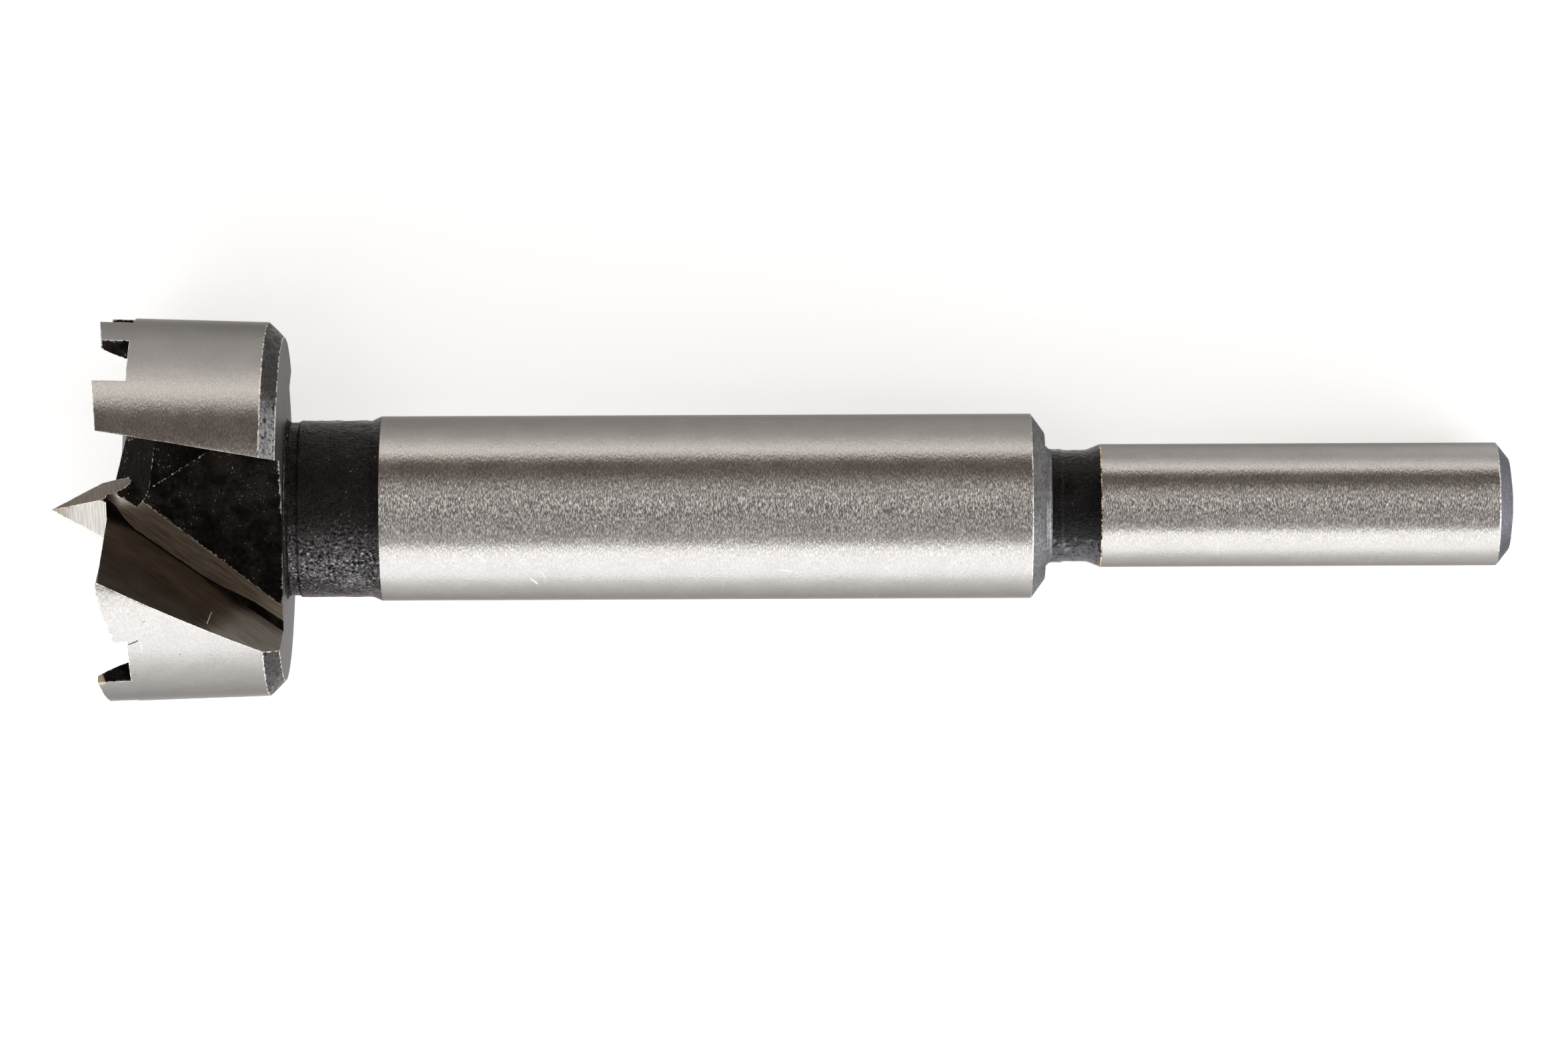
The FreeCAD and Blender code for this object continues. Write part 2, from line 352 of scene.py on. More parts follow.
def refine(shell: Shell, limits: np.ndarray) -> Shell:
    """Splits the triangles of a shell until no edge is too long.

    An edge longer than the smaller limit of its two triangles gets a point at its middle,
    m = (a + b) / 2, in each pass.

    Args:
        shell: The shell to split.
        limits: Longest edge for each triangle, in millimetres.

    Returns:
        The finer shell.
    """
    while True:
        unique, inverse = shell.edges()
        limit = np.full(len(unique), np.inf)
        np.minimum.at(limit, inverse, limits[:, None])
        ends = shell.points[unique]
        too_long = np.linalg.norm(ends[:, 0] - ends[:, 1], axis=1) > limit
        if not too_long.any():
            return shell
        middle = np.full(len(unique), -1)
        middle[too_long] = len(shell.points) + np.arange(too_long.sum())
        points = np.vstack([shell.points, ends[too_long].mean(axis=1)])
        triangles, parents = split_triangles(shell.triangles, middle[inverse])
        shell = Shell(points, triangles, shell.finishes[parents])
        limits = limits[parents]


def walk_distance(shell: Shell, start: np.ndarray) -> np.ndarray:
    """Distance of every point from marked ones, walked along the shell's edges.

    Each pass lowers d(b) to d(a) + |ab| along every edge, both ways.

    Args:
        shell: The shell.
        start: Distance that each point has before the walk, in millimetres.

    Returns:
        One distance for each point.
    """
    edges, _ = shell.edges()
    lengths = np.linalg.norm(shell.points[edges[:, 0]] - shell.points[edges[:, 1]], axis=1)
    distance = start.copy()
    while True:
        before = distance.copy()
        np.minimum.at(distance, edges[:, 0], distance[edges[:, 1]] + lengths)
        np.minimum.at(distance, edges[:, 1], distance[edges[:, 0]] + lengths)
        if np.allclose(before, distance):
            return distance


@dataclass(frozen=True)
class Placement:
    """How the bit lies in the frame: frame point = origin + rotation * bit point."""

    origin: np.ndarray
    rotation: np.ndarray

    @classmethod
    def from_record(cls, record: dict, shank_middle: float, roll: float) -> "Placement":
        """Reads the placement from the record's shank mount.

        Args:
            record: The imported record.
            shank_middle: Station of the shank mount's middle along the bit, in millimetres.
            roll: Turn of the bit about its axis as it lies, in degrees.

        Returns:
            The placement, with its origin in metres.
        """
        mount = next(m for m in record["mounts"] if m["name"] == "shank")
        axis = unit(np.array(mount["axis"]))
        level = unit(np.cross(NEAR, axis))
        upright = np.cross(axis, level)
        turn = math.radians(roll)
        side = level * math.cos(turn) + upright * math.sin(turn)
        rotation = np.stack([axis, side, np.cross(axis, side)], axis=1)
        return cls(np.array(mount["pos_m"]) - axis * shank_middle * MM, rotation)

    def to_frame(self, points: np.ndarray) -> np.ndarray:
        """Bit coordinates in millimetres to frame coordinates in metres."""
        return points * MM @ self.rotation.T + self.origin

    def to_bit(self, points: np.ndarray) -> np.ndarray:
        """Frame coordinates in metres to bit coordinates in millimetres."""
        return (points - self.origin) @ self.rotation / MM

    def direction(self, vector: np.ndarray) -> np.ndarray:
        """A direction of the bit as a direction of the frame."""
        return self.rotation @ vector


@dataclass
class Piece:
    """One visible piece of the bit, made from a shell."""

    name: str
    placement: Placement
    materials: dict[Finish, bpy.types.Material]
    soft_angle: float = 30.0

    def make(self) -> bpy.types.Object:
        """Builds the piece, each kind in its own way."""
        raise NotImplementedError

    def build(self, shell: Shell) -> bpy.types.Object:
        """Makes the Blender object of the piece.

        Faces that meet at less than the soft angle are shaded as one surface.

        Args:
            shell: The piece's shell, with its edge distances and grain coordinates.

        Returns:
            The object, at the origin, riding on the bit's body.
        """
        places = self.placement.to_frame(shell.points)
        places = np.clip(places, np.array(cad_box[0]), np.array(cad_box[1]))
        mesh = bpy.data.meshes.new(self.name)
        mesh.from_pydata(places, [], shell.triangles)
        mesh.polygons.foreach_set("use_smooth", np.ones(len(shell.triangles), bool))
        mesh.set_sharp_from_angle(angle=math.radians(self.soft_angle))
        self.dress(mesh, shell)
        obj = bpy.data.objects.new(self.name, mesh)
        bpy.context.scene.collection.objects.link(obj)
        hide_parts(NODE)
        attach(obj, "root")
        log.info("%s: %d triangles", self.name, len(shell.triangles))
        return obj

    def dress(self, mesh: bpy.types.Mesh, shell: Shell) -> None:
        """Gives the mesh its materials, its edge distances and its grain coordinates.

        Args:
            mesh: The piece's mesh.
            shell: The shell that the mesh was made from.
        """
        used = [name for i, name in enumerate(Finish) if (shell.finishes == i).any()]
        place_of = np.zeros(len(Finish), int)
        for place, name in enumerate(used):
            mesh.materials.append(self.materials[name])
            place_of[number(name)] = place
        mesh.polygons.foreach_set("material_index", place_of[shell.finishes])
        edge = mesh.attributes.new("edge", "FLOAT", "POINT")
        edge.data.foreach_set("value", shell.edge.astype(np.float32))
        grain = mesh.attributes.new("grain", "FLOAT_VECTOR", "CORNER")
        grain.data.foreach_set("vector", shell.grain.astype(np.float32).ravel())


@dataclass
class CuttingHead(Piece):
    """The toothed head with its lips, gullets and centre point."""

    sizes: HeadSizes = field(default_factory=HeadSizes)
    soft_angle: float = 24.0
    sharp_angle: float = 20.0
    spacing: float = 0.45
    skin_spacing: float = 0.32
    edge_spacing: float = 0.165
    hidden_spacing: float = 6.0
    rim_slack: float = 0.1
    back_slack: float = 0.02
    collar_slack: float = 0.2
    collar_radius: float = 6.2
    crown_height: float = 0.36
    crown_reach: float = 0.4
    crown_from: float = 8.0
    crown_fade: float = 3.0
    crown_slack: float = 5.0
    ridge_start: float = 0.06
    skin_depth: float = 0.035
    skin_fade: float = 0.3
    skin_layers: tuple[NoiseLayer, ...] = ((0.6, 0.9, 5), (0.4, 0.45, 6))
    nick_depth: float = 0.02
    nick_layers: tuple[NoiseLayer, ...] = ((1.0, 0.3, 7), (1.0, 0.8, 8))

    def cutting_edge(self) -> np.ndarray:
        """Direction of the near lip's cutting edge, outwards from the axis."""
        cone = math.radians(self.sizes.edge_cone)
        return AXIS * math.sin(cone) + across(self.sizes.edge_turn) * math.cos(cone)

    def rake_face(self) -> Plane:
        """Finds the near lip's ground rake face.

        Returns:
            The face through the cutting edge and the rake's slope, with its grinding lines along the groove.
        """
        s = self.sizes
        rake = math.radians(s.rake_angle)
        slope = AXIS * math.cos(rake) + across(s.edge_turn - 90) * math.sin(rake)
        normal = unit(np.cross(self.cutting_edge(), slope))
        return Plane(self.groove_ends()[0], normal, self.groove_line())

    def groove_point(self, station: float, outward: float) -> np.ndarray:
        """Finds a point of the groove's bottom, which falls with the rake from the cutting edge's level.

        Args:
            station: Place along the axis.
            outward: Distance from the axis along the cutting edge's direction.

        Returns:
            The point.
        """
        s = self.sizes
        down = (station - s.edge_at) * math.tan(math.radians(s.rake_angle))
        return AXIS * station + across(s.edge_turn, outward) + across(s.edge_turn - 90, down)

    def groove_ends(self) -> tuple[np.ndarray, np.ndarray]:
        """The ends of the groove's bottom, at the cutting edge's level and at the head's back."""
        s = self.sizes
        return self.groove_point(s.edge_at, s.groove_front), self.groove_point(s.back_at, s.groove_back)

    def groove_line(self) -> np.ndarray:
        """Direction of the groove's bottom, from the tip's side to the back."""
        start, end = self.groove_ends()
        return unit(end - start)

    def groove_face(self) -> Plane:
        """Finds the second ground face.

        Returns:
            The face that meets the rake face in the groove, with its grinding lines along the groove.
        """
        slope = across(self.sizes.edge_turn + self.sizes.groove_angle)
        normal = unit(np.cross(self.groove_line(), slope))
        return Plane(self.groove_ends()[0], normal, self.groove_line())

    def relief_face(self) -> Plane:
        """Finds the near lip's relieved land.

        Returns:
            The face behind the cutting edge, with its normal towards the tip and its lines along the edge.
        """
        s = self.sizes
        edge, fall = self.cutting_edge(), math.radians(s.relief_angle)
        back = AXIS * math.sin(fall) + across(s.edge_turn - 90) * math.cos(fall)
        normal = unit(np.cross(back, edge))
        return Plane(AXIS * s.edge_at, normal if normal[0] < 0 else -normal, edge)

    def point_faces(self) -> list[Plane]:
        """Finds the four faces of the centre point.

        Returns:
            The faces round the axis, which all pass through the tip, with grinding lines across them.
        """
        s = self.sizes
        lean = math.radians(s.point_angle / 2)
        faces = []
        for side in range(4):
            turn = s.point_turn + 45 + 90 * side
            normal = across(turn) * math.cos(lean) - AXIS * math.sin(lean)
            faces.append(Plane(np.zeros(3), normal, across(turn + 90)))
        return faces

    def planes(self) -> list[tuple[Finish, Plane]]:
        """Lists the ground planes.

        Returns:
            Every ground plane of the head with its finish.
        """
        lips = [(Finish.RAKE, self.rake_face()), (Finish.GROOVE, self.groove_face()),
                (Finish.LAND, self.relief_face())]
        lips += [(finish, plane.other_half()) for finish, plane in lips]
        # The two pairs of point faces are one ground steel, painted lighter and darker as they face the
        # light.
        point = [(Finish.POINT if side % 2 else Finish.POINT_FLANK, plane)
                 for side, plane in enumerate(self.point_faces())]
        return lips + point

    def from_node(self) -> Shell:
        """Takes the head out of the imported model, with its loose triangles merged.

        Returns:
            A shell of the model's triangles in front of the neck, with a cap at the joint.
        """
        mesh = frame["nodes"][NODE].data
        mesh.calc_loop_triangles()
        places = np.empty(len(mesh.vertices) * 3)
        mesh.vertices.foreach_get("co", places)
        corners = np.empty(len(mesh.loop_triangles) * 3, int)
        mesh.loop_triangles.foreach_get("vertices", corners)
        points = self.placement.to_bit(places.reshape(-1, 3))
        _, first, same = np.unique(points.round(3), axis=0, return_index=True, return_inverse=True)
        points, triangles = points[first], same.ravel()[corners].reshape(-1, 3)
        a, b, c = triangles.T
        triangles = triangles[(a != b) & (b != c) & (c != a)]
        in_head = points[triangles][:, :, 0].mean(axis=1) < JOINT_AT
        return self.capped(points, triangles[in_head])

    def capped(self, points: np.ndarray, triangles: np.ndarray) -> Shell:
        """Closes the open round end with a fan about the axis.

        Args:
            points: All points of the model.
            triangles: The head's triangles.

        Returns:
            The closed shell, holding only the points that it uses.
        """
        directed = triangles[:, SIDES].reshape(-1, 2)
        known = {tuple(pair) for pair in directed.tolist()}
        rim = np.array([pair for pair in directed.tolist() if (pair[1], pair[0]) not in known])
        centre = len(points)
        points = np.vstack([points, AXIS * points[rim[:, 0], 0].mean()])
        fan = np.stack([rim[:, 1], rim[:, 0], np.full(len(rim), centre)], axis=1)
        triangles = np.vstack([triangles, fan])
        finishes = np.zeros(len(triangles), int)
        finishes[-len(fan):] = number(Finish.HIDDEN)
        used, packed = np.unique(triangles, return_inverse=True)
        return Shell(points[used], packed.reshape(-1, 3), finishes)

    def name_finishes(self, shell: Shell) -> None:
        """Finds the finish of each of the model's triangles from where it lies and faces.

        Args:
            shell: The head, whose finishes are set.
        """
        s = self.sizes
        square, steep, slanting = 0.98, 0.9, 0.6
        centres, normals = shell.corners().mean(axis=1), shell.normals()
        station, radius = centres[:, 0], np.hypot(centres[:, 1], centres[:, 2])
        backward = normals[:, 0]
        outward = (centres[:, 1] * normals[:, 1] + centres[:, 2] * normals[:, 2]) / np.maximum(radius, TINY)
        on_rim = np.abs(radius - s.rim_radius(station)) < self.rim_slack
        on_teeth = (station < s.teeth_at + s.tooth_height) & (radius > s.radius - s.tooth_reach)
        rules = [
            (Finish.FORGED, np.ones(len(centres), bool)),
            (Finish.RIM, on_rim & (outward > square)),
            (Finish.BACK_BEVEL, (station > s.chamfer_at) & (outward > slanting) & (backward > slanting)),
            (Finish.BACK, (station > s.back_at - self.back_slack) & (backward > square)),
            (Finish.LAND, on_teeth & (backward < -steep)),
        ]
        rules += [(finish, plane.holds(centres, normals)) for finish, plane in self.planes()]
        hidden = shell.finishes == number(Finish.HIDDEN)
        for finish, found in rules:
            shell.finishes[found & ~hidden] = number(finish)

    def round_out(self, shell: Shell) -> None:
        """Moves the rim's new points from the model's flats out to the true cone.

        Args:
            shell: The head, whose points are moved.
        """
        on_rim = np.zeros(len(shell.points), bool)
        on_rim[shell.triangles[shell.finishes == number(Finish.RIM)]] = True
        others = np.zeros(len(shell.points), bool)
        others[shell.triangles[shell.finishes != number(Finish.RIM)]] = True
        inside = on_rim & ~others
        grow = self.sizes.rim_radius(shell.points[inside, 0]) / shell.axis_distance()[inside]
        shell.points[inside, 1:] *= grow[:, None]

    def crown_lands(self, shell: Shell) -> None:
        """Raises the relieved lands behind their cutting edges, where the grinding left them fuller.

        A place at distance d behind the edge moves towards the tip by height * (1 - exp(-d / reach)),
        and less near the axis.

        Args:
            shell: The head, whose points are moved.
        """
        centres, normals = shell.corners().mean(axis=1), shell.normals()
        for finish, plane in self.planes():
            if finish is Finish.LAND:
                used = np.unique(shell.triangles[plane.holds(centres, normals)])
                behind = np.abs(plane.grain(shell.points[used])[:, 0])
                outer = np.clip((shell.axis_distance()[used] - self.crown_from) / self.crown_fade, 0, 1)
                shell.points[used, 0] -= self.crown_height * outer * (1 - np.exp(-behind / self.crown_reach))

    def grain_of(self, shell: Shell) -> np.ndarray:
        """Works out where the patterns of the finishes lie on the head.

        Args:
            shell: The head.

        Returns:
            Coordinates of every triangle corner: the bit's own, or those of the corner's ground plane.
        """
        grain = shell.corners().copy()
        centres, normals = grain.mean(axis=1), shell.normals()
        for finish, plane in self.planes():
            found = plane.holds(centres, normals)
            if finish is Finish.LAND:
                crowned = plane.holds(centres, normals, 2 * self.crown_height + self.crown_slack)
                found |= crowned & (shell.finishes == number(finish))
            grain[found] = plane.grain(grain[found].reshape(-1, 3)).reshape(-1, 3, 3)
        return grain.reshape(-1, 3)

    def edge_starts(self, shell: Shell) -> np.ndarray:
        """Marks the head's sharp edges for the walk of edge distances.

        Args:
            shell: The head.

        Returns:
            A start distance for each point: none on ground sharp edges, a little on forged ones, else far.
        """
        edges, finishes = shell.sharp_edges(self.sharp_angle)
        station = shell.points[edges, 0]
        in_front = (station < self.sizes.back_at + self.back_slack).all(axis=1)
        at_collar = (station < self.sizes.back_at + self.collar_slack).all(axis=1)
        outside = (shell.axis_distance()[edges] > self.collar_radius).all(axis=1)
        open_edges = in_front | (at_collar & outside)
        edges, finishes = edges[open_edges], finishes[open_edges]
        forged = np.isin(finishes, numbers(Finish.FORGED, Finish.BACK_BEVEL)).all(axis=1)
        start = np.full(len(shell.points), FAR_FROM_EDGE)
        start[edges[forged]] = self.ridge_start
        start[edges[~forged]] = 0.0
        return start

    def roughen(self, shell: Shell, sharp: np.ndarray) -> None:
        """Nicks the sharp edges, and gives the forged faces their uneven skin.

        The skin's height is a sum of noises, which fades out towards the sharp edges as
        1 - exp(-d / skin_fade), with d the distance from the edge.

        Args:
            shell: The head.
            sharp: True for each point on a sharp edge.
        """
        forged = np.ones(len(shell.points), bool)
        smooth = ~np.isin(shell.finishes, numbers(Finish.FORGED, Finish.BACK_BEVEL))
        forged[shell.triangles[smooth]] = False
        skin = layered_noise(shell.points, self.skin_layers)
        skin *= self.skin_depth * (1 - np.exp(-shell.edge / self.skin_fade))
        nicks = -self.nick_depth * np.clip(layered_noise(shell.points, self.nick_layers), 0, 1)
        height = np.where(forged, skin, 0) + np.where(sharp, nicks, 0)
        shell.points += shell.point_normals() * height[:, None]

    def make(self) -> bpy.types.Object:
        """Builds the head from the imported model.

        Returns:
            The head's object.
        """
        shell = self.from_node()
        self.name_finishes(shell)
        limit_of = np.full(len(Finish), self.spacing)
        limit_of[numbers(Finish.FORGED, Finish.BACK_BEVEL)] = self.skin_spacing
        limit_of[numbers(Finish.HIDDEN)] = self.hidden_spacing
        shell = refine(shell, limit_of[shell.finishes])
        self.crown_lands(shell)
        near_edge = (self.edge_starts(shell) < FAR_FROM_EDGE)[shell.triangles].any(axis=1)
        shell = refine(shell, np.where(near_edge, self.edge_spacing, np.inf))
        self.round_out(shell)
        shell.grain = self.grain_of(shell)
        start = self.edge_starts(shell)
        shell.edge = walk_distance(shell, start)
        self.roughen(shell, start < self.ridge_start)
        return self.build(shell)


@dataclass(frozen=True)
class Corner:
    """A corner of a turned outline.

    It has its place, how far it is rounded, the finish and the longest step of the stretch after it,
    and whether it is worn bright.
    """

    station: float
    radius: float
    rounding: float
    finish: Finish
    step: float
    worn: bool = True


def turned_outline(corners: list[Corner]) -> tuple[np.ndarray, np.ndarray, np.ndarray]:
    """Points along a turned outline with rounded corners.

    A corner C is rounded with the curve (1-t)^2 A + 2t(1-t) C + t^2 B, where A and B lie on its two
    sides at the rounding's distance. Straight stretches are divided evenly.

    Args:
        corners: The outline's corners in order.

    Returns:
        The points as (station, radius), the finish number of each stretch, and each point's distance
        from the nearest worn corner.
    """
    places = np.array([(c.station, c.radius) for c in corners])
    points, finishes = [places[0]], []
    t = np.linspace(0, 1, ROUNDING_STEPS + 1)[1:, None]
    for i in range(1, len(corners)):
        back = unit(places[i - 1] - places[i])
        start = places[i] + back * corners[i].rounding
        count = max(1, math.ceil(np.linalg.norm(start - points[-1]) / corners[i - 1].step))
        share = np.linspace(0, 1, count + 1)[1:, None]
        stretch = points[-1] + (start - points[-1]) * share
        finish = number(corners[i - 1].finish)
        points += list(stretch)
        finishes += [finish] * count
        if corners[i].rounding and i + 1 < len(corners):
            end = places[i] + unit(places[i + 1] - places[i]) * corners[i].rounding
            points += list((1 - t) ** 2 * start + 2 * t * (1 - t) * places[i] + t ** 2 * end)
            finishes += [finish] * len(t)
    line = np.array(points)
    worn = np.array([c.worn for c in corners[1:-1]])
    distance = np.linalg.norm(line[:, None] - places[None, 1:-1][:, worn], axis=2).min(axis=1)
    return line, np.array(finishes), distance


def lathe(line: np.ndarray, finishes: np.ndarray, distance: np.ndarray, count: int) -> Shell:
    """Turns an outline about the axis into a closed shell.

    The point at outline place i and turn j is (x_i, r_i * sin(a_j), r_i * cos(a_j)), with
    a_j = 2 * pi * j / count. Both ends are closed with fans about the axis.

    Args:
        line: Points as (station, radius).
        finishes: Finish number of each stretch.
        distance: Distance of each point from the nearest corner.
        count: Number of points round the axis.

    Returns:
        The closed shell.
    """
    turn = 2 * np.pi * np.arange(count) / count
    station, radius = line.T
    grid = np.stack([np.repeat(station[:, None], count, 1), np.outer(radius, np.sin(turn)),
                     np.outer(radius, np.cos(turn))], axis=2)
    ends = np.array([[station[0], 0, 0], [station[-1], 0, 0]])
    points = np.vstack([grid.reshape(-1, 3), ends])
    ring, step = np.meshgrid(np.arange(len(line) - 1), np.arange(count), indexing="ij")
    a, b = ring * count + step, ring * count + (step + 1) % count
    c, d = b + count, a + count
    quads = np.stack([a, d, c, b], axis=2).reshape(-1, 4)
    walls = np.vstack([quads[:, [0, 1, 2]], quads[:, [0, 2, 3]]])
    finish = np.repeat(finishes, count)
    j = np.arange(count)
    k = (j + 1) % count
    last = (len(line) - 1) * count
    front = np.stack([j, k, np.full(count, len(points) - 2)], axis=1)
    rear = np.stack([last + k, last + j, np.full(count, len(points) - 1)], axis=1)
    hidden = np.full(2 * count, number(Finish.HIDDEN))
    shell = Shell(points, np.vstack([walls, front, rear]), np.concatenate([finish, finish, hidden]))
    shell.edge = np.concatenate([np.repeat(distance, count), [FAR_FROM_EDGE] * len(ends)])
    return shell


@dataclass(frozen=True)
class ShaftSizes:
    """Sizes of the neck, body, throat and shank: stations along the axis and radii, in millimetres."""

    groove_radius: float = 5.625
    groove_to: float = 16.25
    neck_from: float = 16.36
    neck_radius: float = 5.735
    neck_to: float = 20.95
    body_from: float = 21.55
    body_radius: float = 6.0
    body_to: float = 63.7
    end_face_at: float = 64.6
    end_face_radius: float = 4.75
    fillet_to: float = 64.9
    fillet_radius: float = 3.99
    throat_radius: float = 3.69
    step_from: float = 65.6
    step_to: float = 65.8
    step_radius: float = 3.63
    throat_to: float = 67.3
    shank_from: float = 68.2
    shank_radius: float = 4.0
    shank_to: float = 93.93
    dome_from: float = 94.77
    dome_radius: float = 2.95
    dome_bend: float = 94.98
    tip_at: float = 95.05
    tip_radius: float = 0.02


@dataclass
class TurnedPiece(Piece):
    """A piece that is round about the axis."""

    sizes: ShaftSizes = field(default_factory=ShaftSizes)
    count: int = 300
    plain_step: float = 1.5

    def outline(self) -> list[Corner]:
        """The corners of the piece's outline in order."""
        raise NotImplementedError

    def skin(self, shell: Shell) -> np.ndarray:
        """How far each point stands out from the plain turned surface, in millimetres."""
        raise NotImplementedError

    def make(self) -> bpy.types.Object:
        """Builds the piece from its outline.

        Returns:
            The piece's object.
        """
        line, finishes, distance = turned_outline(self.outline())
        shell = lathe(line, finishes, distance, self.count)
        shell.points += shell.point_normals() * self.skin(shell)[:, None]
        shell.grain = shell.corners().reshape(-1, 3)
        return self.build(shell)


@dataclass
class NeckAndBody(TurnedPiece):
    """The forged neck and the ground body."""

    neck_step: float = 0.15
    shoulder_step: float = 0.3
    skin_depth: float = 0.045
    skin_to: float = 21.4
    skin_fade: float = 0.25
    skin_layers: tuple[NoiseLayer, ...] = ((0.5, 0.75, 11), (0.5, 0.36, 12))

    def outline(self) -> list[Corner]:
        """Lists the corners from the groove behind the head to the foot of the body's end face.

        Returns:
            The corners in order.
        """
        s = self.sizes
        return [
            Corner(JOINT_AT, s.groove_radius, 0, Finish.NECK, self.neck_step),
            Corner(s.groove_to, s.groove_radius, 0.06, Finish.NECK, self.neck_step),
            Corner(s.neck_from, s.neck_radius, 0.06, Finish.NECK, self.neck_step),
            Corner(s.neck_to, s.neck_radius, 0.12, Finish.NECK, self.neck_step),
            Corner(s.body_from, s.body_radius, 0.05, Finish.BODY, self.plain_step),
            Corner(s.body_to, s.body_radius, 0.06, Finish.SHOULDER, self.shoulder_step),
            Corner(s.end_face_at, s.end_face_radius, 0.08, Finish.SHOULDER, self.shoulder_step),
            Corner(s.end_face_at, s.throat_radius, 0, Finish.SHOULDER, self.shoulder_step),
        ]

    def skin(self, shell: Shell) -> np.ndarray:
        """The neck's forged skin: a sum of noises, which fades out towards the body."""
        on_neck = np.clip((self.skin_to - shell.points[:, 0]) / self.skin_fade, 0, 1)
        return self.skin_depth * on_neck * layered_noise(shell.points, self.skin_layers)


@dataclass
class Shank(TurnedPiece):
    """The narrow throat and the ground shank."""

    throat_step: float = 0.1
    chamfer_step: float = 0.3
    dome_step: float = 0.5
    rings_from: float = 65.2
    rings_to: float = 67.1
    ring_fade: float = 0.3
    ring_depth: float = 0.022
    ring_stretch: tuple[float, float, float] = (1.0, 0.02, 0.02)
    ring_layer: NoiseLayer = (1.0, 0.24, 21)
    pit_layer: NoiseLayer = (1.0, 0.3, 22)
    pit_level: float = 0.45
    pit_share: float = 1.5

    def outline(self) -> list[Corner]:
        """Lists the corners from the body's end face to the middle of the domed end.

        Returns:
            The corners in order.
        """
        s = self.sizes
        return [
            Corner(s.end_face_at, s.fillet_radius, 0, Finish.SHOULDER, self.throat_step),
            Corner(s.fillet_to, s.throat_radius, 0.12, Finish.THROAT, self.throat_step, worn=False),
            Corner(s.step_from, s.throat_radius, 0.05, Finish.THROAT, self.throat_step, worn=False),
            Corner(s.step_to, s.step_radius, 0.05, Finish.THROAT, self.throat_step, worn=False),
            Corner(s.throat_to, s.step_radius, 0.25, Finish.THROAT, self.throat_step, worn=False),
            Corner(s.shank_from, s.shank_radius, 0.04, Finish.BODY, self.plain_step),
            Corner(s.shank_to, s.shank_radius, 0.08, Finish.SHANK_END, self.chamfer_step),
            Corner(s.dome_from, s.dome_radius, 0.12, Finish.SHANK_END, self.dome_step),
            Corner(s.dome_bend, s.dome_radius / 2, 0, Finish.SHANK_END, self.dome_step),
            Corner(s.tip_at, s.tip_radius, 0, Finish.SHANK_END, self.dome_step),
        ]

    def skin(self, shell: Shell) -> np.ndarray:
        """The throat's turning rings: noise that changes along the axis and hardly round it, less the pits.

        Args:
            shell: The shank.

        Returns:
            How far each point stands out, in millimetres.
        """
        station = shell.points[:, 0]
        inside = np.minimum(station - self.rings_from, self.rings_to - station) / self.ring_fade
        rings = layered_noise(shell.points * np.array(self.ring_stretch), (self.ring_layer,))
        pits = np.clip(layered_noise(shell.points, (self.pit_layer,)) - self.pit_level, 0, 1)
        return self.ring_depth * np.clip(inside, 0, 1) * (rings - self.pit_share * pits)


Tree = bpy.types.NodeTree
Socket = bpy.types.NodeSocket
Colour = tuple[float, float, float]
Value = float | Socket
Tint = Colour | Socket


